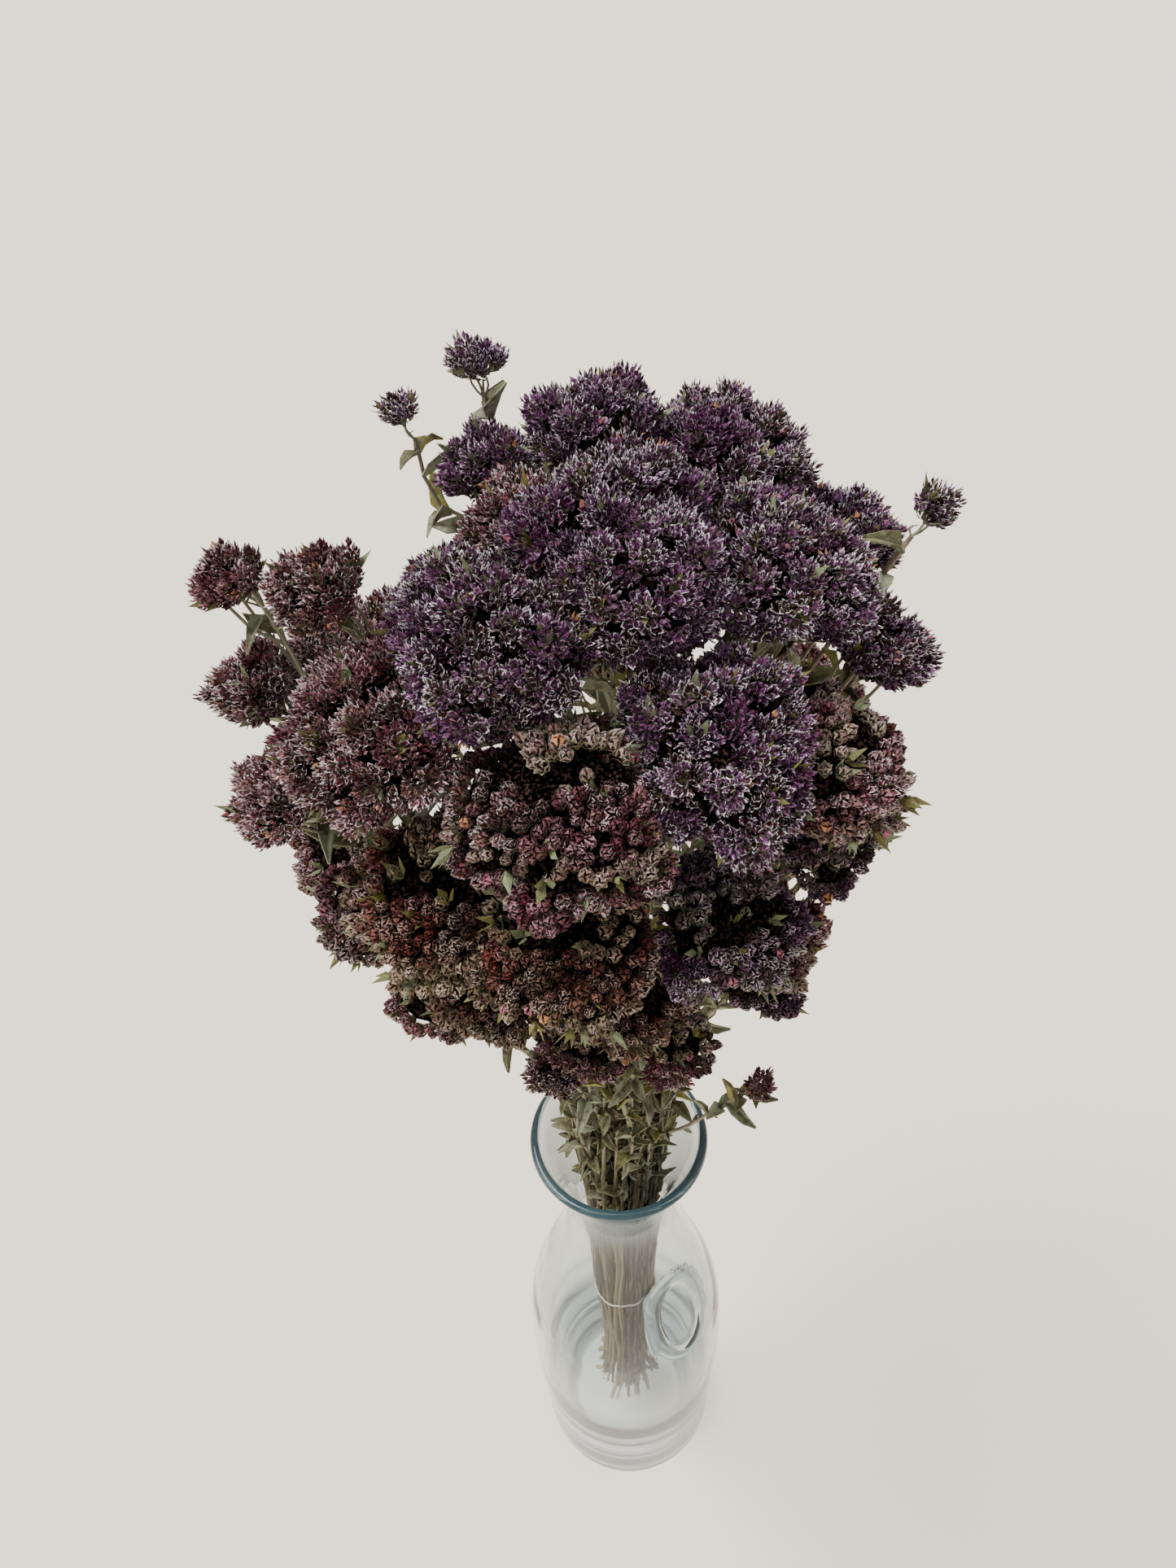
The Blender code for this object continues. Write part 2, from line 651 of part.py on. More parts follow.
def build():
    rng = random.Random(SEED)
    tones = {tone: material(tone + "_florets", *look) for tone, look in TONES.items()}
    stem_finish = material("dry_stem", *STEM_COLOUR)
    make_carafe(material("glass", *GLASS_COLOUR))

    main_heads = [Head(row) for row in CROWN + UPPER_RING + TIERS + SKIRT + SPRIGS]
    side_heads = [Head(row) for row, _ in BRANCHED]
    heads = main_heads + side_heads
    spots = bundle_spots()
    order = matched(spots, main_heads)

    # The free stretch of each stem, from the rim to the head that it carries, then the side branches.
    free = []
    for spot, goal in zip(spots, order):
        start = bundle_point(spot, RIM_EXIT)
        head = main_heads[goal]
        free.append([start] + bend(start, exit_direction(spot), head.seat, head.axis, FREE_BENDS))
    owners = list(order)
    carriers = []
    for k, (_, leaving) in enumerate(BRANCHED):
        head = side_heads[k]
        starts = [at_height(path, leaving * MM) for path in free[: len(order)]]
        stem = min(range(len(starts)), key=lambda n: (starts[n] - head.seat).length)
        away = (head.seat - starts[stem]).normalized()
        free.append([starts[stem]] + bend(starts[stem], away, head.seat, head.axis, BRANCH_BENDS))
        owners.append(len(main_heads) + k)
        carriers.append(stem)
    free = combed(free, owners, heads)
    for k, stem in enumerate(carriers):
        branch = free[len(order) + k]
        branch[0] = at_height(free[stem], branch[0].z)

    # Each group's stems meet at the waist, where they are pressed into one body.
    group_of = [stem // STEMS_IN_GROUP for stem in list(range(len(order))) + carriers]
    lowest = SPREAD[0][0]
    whole = []
    for k, spot in enumerate(spots):
        foot = lowest + (rng.uniform(0, TRIM) if k % STEMS_IN_GROUP else 0)
        levels = [foot, WAIST_HEIGHT, TIE_HEIGHT, NECK_HEIGHT]
        whole.append([bundle_point(spot, z) for z in levels] + free[k])
    leaves = grow_leaves(free, rng)
    for group in range(GROUPS):
        meshes = []
        for k, path in enumerate(whole):
            if group_of[k] == group:
                radii = [STEM] * (len(path) - 3) + [0.9 * STEM, STEM_TIP, STEM_TIP]
                meshes.append(tube(path, radii, 4, turn=0.6 * k))
        for k, branch in enumerate(free[len(order) :], start=len(order)):
            if group_of[k] == group:
                meshes.append(tube(branch, [STEM_TIP] * len(branch), 4))
        for stem, points, faces in leaves:
            if group_of[stem] == group:
                meshes.append(mesh_of(points, faces, "leaf"))
        united(f"stems_{group + 1:02d}", meshes, stem_finish)

    # The tie goes round the outermost stems.
    outermost = max(Vector(bundle_point(spot, TIE_HEIGHT)[:2]).length for spot in spots)
    corner = (outermost + STEM + CLEAR + TIE_CORD) / math.cos(math.pi / TIE_SIDES)
    loop = [place(2 * math.pi * k / TIE_SIDES, corner, TIE_HEIGHT) for k in range(TIE_SIDES)]
    new_object("tie", ring(loop, TIE_CORD, 4), material("tie_band", *TIE_COLOUR))

    rods = []
    for carried, path in zip(owners, free):
        rods += [(carried, a, b, STEM) for a, b in zip(path, path[1:])]
    rods += [(None, points[0], points[3], LEAF_WIDTH / 2) for _, points, _ in leaves]
    for k, head in enumerate(heads):
        make_head(f"corymb_{k + 1:02d}", head, head_walls(k, heads, rods), tones[head.tone], rng)


for old in list(bpy.data.objects):
    bpy.data.objects.remove(old)
build()
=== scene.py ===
import json
import math
import random
from collections import namedtuple

import bmesh
import bpy
import numpy as np
from mathutils import Matrix, Vector

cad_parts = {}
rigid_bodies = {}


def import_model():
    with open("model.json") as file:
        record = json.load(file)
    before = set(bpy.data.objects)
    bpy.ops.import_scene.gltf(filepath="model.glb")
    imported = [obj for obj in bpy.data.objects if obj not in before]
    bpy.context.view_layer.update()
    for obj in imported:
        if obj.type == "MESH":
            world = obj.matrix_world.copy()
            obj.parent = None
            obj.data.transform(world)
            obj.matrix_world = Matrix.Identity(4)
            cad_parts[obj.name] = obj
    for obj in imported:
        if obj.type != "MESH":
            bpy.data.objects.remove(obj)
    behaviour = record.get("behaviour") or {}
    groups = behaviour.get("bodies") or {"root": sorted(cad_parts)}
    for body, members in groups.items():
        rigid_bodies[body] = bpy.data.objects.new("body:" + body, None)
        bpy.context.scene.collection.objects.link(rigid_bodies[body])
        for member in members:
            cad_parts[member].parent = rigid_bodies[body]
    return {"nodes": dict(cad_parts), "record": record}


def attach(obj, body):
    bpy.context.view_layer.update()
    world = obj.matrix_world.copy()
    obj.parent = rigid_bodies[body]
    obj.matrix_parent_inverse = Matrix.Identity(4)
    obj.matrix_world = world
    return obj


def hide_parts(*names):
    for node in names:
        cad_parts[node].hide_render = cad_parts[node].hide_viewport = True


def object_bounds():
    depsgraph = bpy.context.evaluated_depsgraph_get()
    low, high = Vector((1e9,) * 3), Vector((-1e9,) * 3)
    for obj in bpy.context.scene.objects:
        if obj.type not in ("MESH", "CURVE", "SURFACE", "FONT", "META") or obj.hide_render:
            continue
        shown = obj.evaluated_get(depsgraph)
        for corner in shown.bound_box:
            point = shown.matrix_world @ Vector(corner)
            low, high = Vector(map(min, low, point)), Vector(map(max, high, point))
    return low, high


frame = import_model()
cad_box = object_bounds()

# Where the stems run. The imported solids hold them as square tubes, pressed into one at the waist;
# above the rim their sections stand free, and the middles of those sections give each path.
MM = 0.001
SAME_CORNER = 0.02 * MM
ABOVE_RIM = 263 * MM
FIRST_SECTIONS = ABOVE_RIM + 2 * MM  # a stem begins with its section below this height
SECTION_EDGE = 2.1 * MM  # an edge shorter than this lies within one section
SECTION_RADIUS = 1.05 * MM
FORK_CLEAR = 8 * MM  # a fork nearer than this to a section of its stem adds no point to the path


def joined_copy(node):
    """A CAD node's mesh for reading, its loose triangles joined at their corners."""
    work = bmesh.new()
    work.from_mesh(frame["nodes"][node].data)
    bmesh.ops.remove_doubles(work, verts=work.verts, dist=SAME_CORNER)
    work.verts.index_update()
    return work


def corner_net(node):
    """A group's clusters of corners above the rim: each one's corners, middle and neighbours, then
    which are square sections of a stem and which are cuts, where a branch or a leaf is rooted."""
    work = joined_copy(node)
    place = {v.index: v.co.copy() for v in work.verts if v.co.z > ABOVE_RIM}
    links = [(e.verts[0].index, e.verts[1].index, e.calc_length()) for e in work.edges]
    links = [link for link in links if link[0] in place and link[1] in place]
    work.free()
    cluster = {k: {k} for k in place}
    for a, b, length in links:
        if length < SECTION_EDGE and cluster[a] is not cluster[b]:
            whole = cluster[a] | cluster[b]
            for k in whole:
                cluster[k] = whole
    home = {k: min(s) for k, s in cluster.items()}
    members = {home[k]: sorted(s) for k, s in cluster.items()}
    middle = {k: sum((place[i] for i in s), Vector()) / len(s) for k, s in members.items()}
    beside = {k: set() for k in members}
    for a, b, _ in links:
        if home[a] != home[b]:
            beside[home[a]].add(home[b])
            beside[home[b]].add(home[a])
    wide = {k: max((place[i] - middle[k]).length for i in s) for k, s in members.items()}
    square = {k for k, s in members.items() if len(s) == 4 and wide[k] < SECTION_RADIUS}
    cuts = {k for k, s in members.items() if len(s) >= 4 and k not in square}
    return members, middle, beside, square, cuts


def leaf_lines(members, middle, beside, cuts):
    """The root and the tip of each leaf."""
    leaves = []
    blades = {k for k in members if len(members[k]) <= 2}
    while blades:
        blade, grown = {min(blades)}, True
        while grown:
            near = {n for k in blade for n in beside[k]} & blades
            grown = not near <= blade
            blade |= near
        blades -= blade
        roots = {n for k in blade for n in beside[k]} & cuts
        if roots:
            root = middle[min(roots)]
            tip = max((middle[k] for k in blade), key=lambda p: (p - root).length)
            leaves.append((root, tip))
    return leaves


def free_runs(node):
    """The paths of a group's stems from the rim to their heads, of its branches, and its leaves."""
    members, middle, beside, square, cuts = corner_net(node)

    def climb(first):
        """From section to section, straight on through each fork."""
        chain, last, heading = [middle[first]], first, Vector((0, 0, 1))
        while True:
            here, ahead = middle[last], []
            for n in beside[last]:
                into = (middle[n] - here).normalized()
                ahead.append((heading.dot(into), n, None))
                for m in beside[n] - {last} if n in cuts else ():
                    ahead.append((into.dot((middle[m] - middle[n]).normalized()), m, n))
            ahead = [row for row in ahead if row[1] in square - used and middle[row[1]].z > here.z]
            if not ahead:
                return chain
            _, last, fork = max(ahead, key=lambda row: row[0])
            before = here if fork is None else middle[fork]
            if min((before - here).length, (middle[last] - before).length) > FORK_CLEAR:
                chain.append(before)
            heading = (middle[last] - before).normalized()
            chain.append(middle[last])
            used.add(last)

    used = {k for k in square if middle[k].z < FIRST_SECTIONS}
    stems = [climb(k) for k in sorted(used)]
    branches = []
    for k in sorted(square, key=lambda k: middle[k].z):
        if k not in used:
            used.add(k)
            forks = sorted(beside[k] & cuts, key=lambda n: middle[n].z)
            branches.append([middle[n] for n in forks[:1]] + climb(k))
    return stems, branches, leaf_lines(members, middle, beside, cuts)


class Head:
    """A flower head as the CAD has it: its joined mesh, its seat on a stem, its middle and size."""

    def __init__(self, node, ends):
        self.node = node
        self.work = joined_copy(node)
        corners = [v.co for v in self.work.verts]
        self.seat = min(ends, key=lambda end: min((c - end).length for c in corners))
        self.middle = sum(corners, Vector()) / len(corners)
        self.size = max((c - self.middle).length for c in corners)
        self.lean = (self.middle - self.seat).normalized()
        self.top = max(c.z for c in corners)


groups = sorted(name for name in frame["nodes"] if name.startswith("stems_"))
runs = {name: free_runs(name) for name in groups}
ends = [path[-1] for name in groups for path in runs[name][0] + runs[name][1]]
head_nodes = sorted(name for name in frame["nodes"] if name.startswith("corymb_"))
heads = [Head(name, ends) for name in head_nodes]
head_at = {tuple(head.seat): head for head in heads}

# Dry square stems, straw to grey below and sage above, ribbed along their length and thicker at the
# joints where leaves grew. They are cut by hand, so their feet end a little unevenly in the glass.
FOOT = 34 * MM
RIM_EXIT = 264 * MM
BUNDLE_LEVELS = (FOOT, 68 * MM, 140 * MM, 212 * MM, RIM_EXIT)
BUNDLE_SPREADS = (1.65, 1.12, 1.3, 1.5, 1.95)  # of the width at the waist
PATH_LEVELS = (40 * MM, 68 * MM, 104 * MM, 140 * MM, 176 * MM, 212 * MM)
TWIST = math.radians(24)
STEM_CORNER = 1.0 * MM
TIP_CORNER = 0.7 * MM
THIN_TIP = 0.5 * MM  # of a stem without a head
TWIG_CORNER = 0.42 * MM
TWIG_STEPS = (9 * MM, 17 * MM)  # from the head down to each pair of twigs
FULL_SIZE = 14 * MM  # a smaller head is a young one
JOINT_PITCH = 38 * MM
JOINT_REACH = 2.4 * MM
JOINT_SWELL = 0.35
SAMPLE = 8 * MM
UNEVEN_CUT = 6 * MM
WANDER, OUTER_WANDER = 0.8 * MM, 1.2 * MM
OUTER_RINGS = ((13.2 * MM, 26), (16.8 * MM, 30))  # radius at the rim and count of the outer stems
OUTER_TOPS = (290 * MM, 372 * MM)
OUTER_FLARE = 1.15  # how much wider the outer stems stand at the foot
OUTER_STEPS = (0.0, 0.35, 0.7, 1.0)
CURVE_STEPS = 12  # between two points of a path


def feed(tree, socket, value):
    """Sets a socket, or links it to what varies."""
    value = getattr(value, "socket", value)
    if isinstance(value, bpy.types.NodeSocket):
        tree.links.new(value, socket)
    else:
        socket.default_value = value


def add_node(tree, kind, sockets=None, **settings):
    """Adds a node with its settings and the values or links of its sockets."""
    made = tree.nodes.new(kind)
    for name, value in settings.items():
        setattr(made, name, value)
    for key, value in (sockets or {}).items():
        feed(tree, made.inputs[key], value)
    return made


class Value:
    """A number or direction that varies over a surface; arithmetic on it adds math nodes."""

    def __init__(self, tree, socket):
        self.tree, self.socket = tree, socket
        self.vector = socket.type == "VECTOR"

    def combined(self, operation, first, second=0.0):
        vectors = [getattr(v, "vector", isinstance(v, tuple)) for v in (first, second)]
        kind = "ShaderNodeVectorMath" if any(vectors) else "ShaderNodeMath"
        sockets = {0: first, 1: second}
        if operation == "MULTIPLY" and vectors == [True, False]:
            operation, sockets = "SCALE", {0: first, 3: second}
        if operation in ("LENGTH", "NORMALIZE"):
            sockets = {0: first}
        made = add_node(self.tree, kind, sockets, operation=operation)
        return Value(self.tree, made.outputs[1 if operation in ("LENGTH", "DOT_PRODUCT") else 0])

    def operation(name, swapped=False):
        """A method that adds a math node."""
        if swapped:
            return lambda self, other: self.combined(name, other, self)
        return lambda self, *other: self.combined(name, self, *other)

    __add__ = operation("ADD")
    __sub__ = operation("SUBTRACT")
    __rsub__ = operation("SUBTRACT", swapped=True)
    __mul__ = operation("MULTIPLY")
    __gt__ = operation("GREATER_THAN")
    __lt__ = operation("LESS_THAN")
    __abs__ = operation("ABSOLUTE")
    fraction = operation("FRACT")
    dot = operation("DOT_PRODUCT")
    length = operation("LENGTH")
    normalized = operation("NORMALIZE")

    def between(self, low, high):
        """0 below low, 1 above high, smooth in between."""
        sockets = {0: self, 1: low, 2: high}
        made = add_node(self.tree, "ShaderNodeMapRange", sockets, interpolation_type="SMOOTHSTEP")
        return Value(self.tree, made.outputs[0])


class Finish:
    """A material being mixed: patterns are values, colours are mixed by values."""

    def __init__(self, name):
        self.material = bpy.data.materials.new(name)
        self.material.use_nodes = True
        self.tree = self.material.node_tree
        self.shader = self.tree.nodes["Principled BSDF"]

    def attribute(self, name):
        made = add_node(self.tree, "ShaderNodeAttribute", attribute_name=name)
        return Value(self.tree, made.outputs["Fac"])

    def height(self):
        coordinates = add_node(self.tree, "ShaderNodeTexCoord").outputs["Object"]
        split = add_node(self.tree, "ShaderNodeSeparateXYZ", {0: coordinates})
        return Value(self.tree, split.outputs["Z"])

    def noise(self, scale, detail=3.0, stretch=(1, 1, 1)):
        coordinates = add_node(self.tree, "ShaderNodeTexCoord").outputs["Object"]
        sockets = {"Vector": coordinates, "Scale": stretch}
        where = add_node(self.tree, "ShaderNodeMapping", sockets).outputs[0]
        sockets = {"Vector": where, "Scale": scale, "Detail": detail}
        made = add_node(self.tree, "ShaderNodeTexNoise", sockets)
        return Value(self.tree, made.outputs[0])

    def mix(self, amount, first, second):
        first, second = [(*c, 1.0) if isinstance(c, tuple) else c for c in (first, second)]
        sockets = {0: amount, 6: first, 7: second}
        made = add_node(self.tree, "ShaderNodeMix", sockets, data_type="RGBA")
        return made.outputs[2]

    def relief(self, height, depth, strength=1.0):
        sockets = {"Height": height, "Distance": depth, "Strength": strength}
        self.set(Normal=add_node(self.tree, "ShaderNodeBump", sockets).outputs[0])

    def set(self, **sockets):
        for name, value in sockets.items():
            feed(self.tree, self.shader.inputs[name.replace("_", " ")], value)

    def blend(self, amount, other):
        """Lays another shader over this one by a value."""
        sockets = {0: amount, 1: self.shader.outputs[0], 2: other}
        both = add_node(self.tree, "ShaderNodeMixShader", sockets).outputs[0]
        self.tree.links.new(both, self.tree.nodes["Material Output"].inputs["Surface"])


def new_tree(name, **inputs):
    """An empty geometry tree with a mesh in and out and, by kind, its named inputs."""
    tree = bpy.data.node_groups.new(name, "GeometryNodeTree")
    kinds = [("Geometry", "Geometry")]
    kinds += [(label, kind) for kind, labels in inputs.items() for label in labels]
    for label, kind in kinds:
        tree.interface.new_socket(label, in_out="INPUT", socket_type="NodeSocket" + kind)
    tree.interface.new_socket("Geometry", in_out="OUTPUT", socket_type="NodeSocketGeometry")
    given = tree.nodes.new("NodeGroupInput")
    return tree, {label: Value(tree, given.outputs[label]) for label, _ in kinds}


def result(tree, kind, sockets=None, **settings):
    """The first output of a new node, as a value."""
    return Value(tree, add_node(tree, kind, sockets, **settings).outputs[0])


def close_tree(tree, geometry, material):
    """Ends a tree as plain, finished mesh."""
    real = result(tree, "GeometryNodeRealizeInstances", {0: geometry})
    sockets = {"Geometry": real, "Material": material}
    dressed = result(tree, "GeometryNodeSetMaterial", sockets)
    add_node(tree, "NodeGroupOutput", {0: dressed})


def named(tree, name, kind="FLOAT"):
    """An attribute of the points that a tree works on."""
    return result(tree, "GeometryNodeInputNamedAttribute", {"Name": name}, data_type=kind)


def link(name, data):
    """A new object in the scene."""
    made = bpy.data.objects.new(name, data)
    bpy.context.scene.collection.objects.link(made)
    return made


def grow(name, mesh, tree, **values):
    """The plain mesh that a tree grows from a mesh, as a new piece."""
    seed = link(name + "_seed", mesh)
    modifier = seed.modifiers.new("grow", "NODES")
    modifier.node_group = tree
    for item in tree.interface.items_tree:
        if item.in_out == "INPUT" and item.name in values:
            modifier[item.identifier] = values[item.name]
    solved = seed.evaluated_get(bpy.context.evaluated_depsgraph_get())
    grown = bpy.data.meshes.new_from_object(solved)
    grown.name = name
    bpy.data.objects.remove(seed)
    return link(name, grown)


def smooth_path(points):
    """A function of the run along a smooth curve through the given points, and its length."""
    ends = [points[0] * 2 - points[1], *points, points[-1] * 2 - points[-2]]
    fine = []
    for p0, p1, p2, p3 in zip(ends, ends[1:], ends[2:], ends[3:]):
        for k in range(CURVE_STEPS):
            t = k / CURVE_STEPS
            bend = (p0 * 2 - p1 * 5 + p2 * 4 - p3) * t * t + (p1 * 3 - p0 - p2 * 3 + p3) * t**3
            fine.append((p1 * 2 + (p2 - p0) * t + bend) / 2)
    fine = np.array([tuple(p) for p in fine + [points[-1]]])
    run = np.concatenate([[0], np.cumsum(np.linalg.norm(np.diff(fine, axis=0), axis=1))])
    return lambda s: Vector([float(np.interp(s, run, fine[:, k])) for k in range(3)]), float(run[-1])


def below_rim(top, height):
    """Where the stem that leaves the rim at top stands lower down in the glass."""
    spread = float(np.interp(height, BUNDLE_LEVELS, BUNDLE_SPREADS)) / BUNDLE_SPREADS[-1]
    turn = TWIST * (height - RIM_EXIT) / (RIM_EXIT - FOOT)
    flat = Matrix.Rotation(turn, 3, "Z") @ Vector((top.x, top.y, 0)) * spread
    return flat + Vector((0, 0, height))


def whole_stem(free, rng, wander, flare=1.0):
    """A stem's path from its foot through the glass, wandering a little, to its end."""
    foot = FOOT + rng.uniform(0, UNEVEN_CUT)
    inside = [below_rim(free[0], height) for height in (foot, *PATH_LEVELS)]
    inside[0].xy *= flare
    for point in inside:
        point.x += rng.uniform(-wander, wander)
        point.y += rng.uniform(-wander, wander)
    return inside + free


def draw_stem(path, thick, thin, shift, tone=0.5):
    """Points along a stem, its thickness there, tapered and swollen at each joint, and its tone."""
    at, length = smooth_path(path)
    runs = list(np.arange(0, length, SAMPLE)) + [length]
    joints = list(np.arange(JOINT_PITCH * shift, length - JOINT_REACH, JOINT_PITCH))
    for joint in joints:
        runs = [s for s in runs if abs(s - joint) > 1.6 * JOINT_REACH or s in (0, length)]
        runs += [joint - JOINT_REACH, joint, joint + JOINT_REACH]
    runs = sorted(s for s in runs if 0 <= s <= length)
    swollen = set(joints)
    sizes = [
        (thick + (thin - thick) * (s / length) ** 2) * (1 + JOINT_SWELL * (s in swollen))
        for s in runs
    ]
    return [at(s) for s in runs], sizes, tone


def carry(mesh, name, values):
    """Gives each point of a mesh a named value."""
    mesh.attributes.new(name, "FLOAT", "POINT").data.foreach_set("value", values)


def polyline_mesh(name, drawn):
    """Chains of edges with the thickness that the stem has at their points, and each stem's tone."""
    points, edges, thickness, tones = [], [], [], []
    for path, sizes, tone in drawn:
        first = len(points)
        points += [tuple(p) for p in path]
        edges += [(k, k + 1) for k in range(first, len(points) - 1)]
        thickness += sizes
        tones += [tone] * len(path)
    mesh = bpy.data.meshes.new(name)
    mesh.from_pydata(points, edges, [])
    carry(mesh, "thickness", thickness)
    carry(mesh, "tone", tones)
    return mesh


stem_tree, given = new_tree("square_stem", Material=["Material"])
edge = result(stem_tree, "GeometryNodeMeshToCurve", {"Mesh": given["Geometry"]})
sockets = {"Width": 1.414, "Height": 1.414}  # so that a corner lies one unit off the middle
outline = result(stem_tree, "GeometryNodeCurvePrimitiveQuadrilateral", sockets)
sockets = {"Curve": outline, "Radius": 0.32, "Count": 1}
rounded = result(stem_tree, "GeometryNodeFilletCurve", sockets, mode="POLY")
sockets = {
    "Curve": edge,
    "Profile Curve": rounded,
    "Scale": named(stem_tree, "thickness"),
    "Fill Caps": True,
}
tube = result(stem_tree, "GeometryNodeCurveToMesh", sockets)
close_tree(stem_tree, tube, given["Material"])

stem_finish = Finish("dry_stem")
height = stem_finish.height()
ribs = stem_finish.noise(1100, 3, (1, 1, 0.03))
patches = stem_finish.noise(150, 3, (1, 1, 0.12))
tone = stem_finish.attribute("tone")
straw = stem_finish.mix(tone.between(0.25, 0.75), (0.235, 0.178, 0.070), (0.020, 0.013, 0.005))
straw = stem_finish.mix(patches.between(0.44, 0.6) * 0.7, straw, (0.030, 0.022, 0.010))
sage = stem_finish.mix(tone.between(0.3, 0.9), (0.27, 0.275, 0.185), (0.17, 0.115, 0.095))
sage = stem_finish.mix(patches.between(0.44, 0.6) * 0.5, sage, (0.13, 0.10, 0.065))
body = stem_finish.mix(height.between(0.24, 0.34), straw, sage)
lined = stem_finish.mix(ribs.between(0.48, 0.64) * 0.5, body, (0.36, 0.32, 0.20))
stem_finish.set(Base_Color=lined, Roughness=ribs * 0.2 + 0.62)
stem_finish.relief(ribs, 0.0005, 0.7)


def twigs(head, path, rng):
    """Thin branches that leave a stem under its head in pairs and bend out into the head."""
    drawn = []
    if head.size < FULL_SIZE:
        return drawn
    at, length = smooth_path(path)
    lean, size = head.lean, head.size
    turn = rng.uniform(0, math.pi)
    for step in TWIG_STEPS:
        root = at(max(0.0, length - step))
        turn += math.pi / 2
        for side in (0.0, math.pi):
            across = Matrix.Rotation(turn + side, 3, lean) @ lean.orthogonal().normalized()
            end = head.seat + lean * 0.5 * size + across * size * rng.uniform(0.25, 0.38)
            bow = root.lerp(end, 0.55) + across * 0.10 * size - lean * 0.03 * size
            drawn.append(draw_stem([root, bow, end], TWIG_CORNER * 1.25, TWIG_CORNER, 0.0))
    return drawn


rng = random.Random(7)
outer = {name: [] for name in groups}
tops = [(path, name) for name in groups for path in runs[name][0]]
for radius, count in OUTER_RINGS:
    for k in range(count):
        around = 2 * math.pi * (k + rng.uniform(-0.3, 0.3)) / count
        away = radius * rng.uniform(0.94, 1.06)
        spot = Vector((away * math.cos(around), away * math.sin(around), RIM_EXIT))
        guide, name = min(tops, key=lambda row: (row[0][0] - spot).length)
        at, length = smooth_path(guide)
        shift = spot - guide[0]
        reach = rng.uniform(*OUTER_TOPS) - RIM_EXIT
        steps = [at(reach * t) + shift * (1 - 0.45 * t) for t in OUTER_STEPS]
        outer[name].append(steps)

stem_lines = []  # path, whether it carries a head, whether it stands in the glass
for name in groups:
    stems, branches, _ = runs[name]
    drawn = []
    for free in stems:
        path = whole_stem(free, rng, WANDER)
        drawn.append(draw_stem(path, STEM_CORNER, TIP_CORNER, rng.random(), rng.random()))
        drawn += twigs(head_at[tuple(free[-1])], free, rng)
    for free in branches:
        drawn.append(draw_stem(free, TIP_CORNER, 0.8 * TIP_CORNER, rng.random()))
    for free in outer[name]:
        path = whole_stem(free, rng, OUTER_WANDER, OUTER_FLARE)
        thick = rng.uniform(0.8, 1.3) * STEM_CORNER
        drawn.append(draw_stem(path, thick, THIN_TIP, rng.random(), rng.random()))
    stem_lines += [(free, True, True) for free in stems] + [(free, True, False) for free in branches]
    stem_lines += [(free, False, True) for free in outer[name]]
    piece = grow("dry_" + name, polyline_mesh(name, drawn), stem_tree, Material=stem_finish.material)
    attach(piece, "root")
    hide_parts(name)

# Small dried leaves in crossed pairs at the joints, curled and folded along the rib, sage to olive
# with some yellow. They crowd above the rim, and a few stay green right under the heads.
LEAF_ROWS = 3
LEAF_GAUGE = 0.035  # of the leaf's length
CROWDED_BELOW = 375 * MM
LEAFY_FROM = (200 * MM, 258 * MM)
LONG_LEAF = 0.6  # of the CAD leaf's length, which its curl takes up
CARRIED_BARE, BARE = 0.28, 0.5  # how often a leaf has dropped, under a head and on bare stems
LEAF_SHAPES = (  # width, arch, fold, twist
    (0.44, 0.30, 0.7, 0.4),
    (0.38, 0.60, 1.1, -0.7),
    (0.30, 0.15, 1.5, 1.1),
    (0.42, -0.30, 0.8, -1.0),
)


def meshed(name, work):
    """The mesh of a finished drawing, its faces turned outwards."""
    bmesh.ops.recalc_face_normals(work, faces=work.faces)
    mesh = bpy.data.meshes.new(name)
    work.to_mesh(mesh)
    work.free()
    return mesh


def draw_leaf(width, arch, fold, twist):
    """A closed leaf one unit long from the origin along +X, its face up."""
    work = bmesh.new()
    rows = []
    for k in range(LEAF_ROWS + 1):
        t = k / LEAF_ROWS
        half = width * math.sin(math.pi * (0.06 + 0.94 * t) ** 0.75) ** 0.9 / 2
        row = []
        for side in (-1, 0, 1):
            across = side * max(half, 0.012)
            lift = fold * abs(across)
            y = across * math.cos(twist * t) - lift * math.sin(twist * t)
            z = across * math.sin(twist * t) + lift * math.cos(twist * t) - arch * t * t
            row.append(work.verts.new((t * (1 - 0.25 * arch * t), y, z)))
        rows.append(row)
    for a, b in zip(rows, rows[1:]):
        for k in range(2):
            work.faces.new((a[k], b[k], b[k + 1], a[k + 1]))
    bmesh.ops.recalc_face_normals(work, faces=work.faces)
    bmesh.ops.solidify(work, geom=work.faces[:], thickness=LEAF_GAUGE)
    mesh = meshed("leaf", work)
    mesh.shade_smooth()
    mesh.set_sharp_from_angle(angle=math.radians(50))
    return mesh


def kit(name, meshes):
    """A collection of drawn shapes for a tree to pick from."""
    made = bpy.data.collections.new(name)
    bpy.context.scene.collection.children.link(made)
    for k, mesh in enumerate(meshes):
        made.objects.link(bpy.data.objects.new(f"{name}_{k}", mesh))
    return made


def put_away(collection):
    for spare in list(collection.objects):
        bpy.data.objects.remove(spare)
    bpy.data.collections.remove(collection)


def picked(tree, collection, points, rotation, scale):
    """Shapes of a kit, drawn by lot onto points."""
    sockets = {"Collection": collection, "Separate Children": True, "Reset Children": True}
    shapes = result(tree, "GeometryNodeCollectionInfo", sockets)
    sockets = {
        "Points": points,
        "Instance": shapes,
        "Pick Instance": True,
        "Rotation": rotation,
        "Scale": scale,
    }
    return result(tree, "GeometryNodeInstanceOnPoints", sockets)


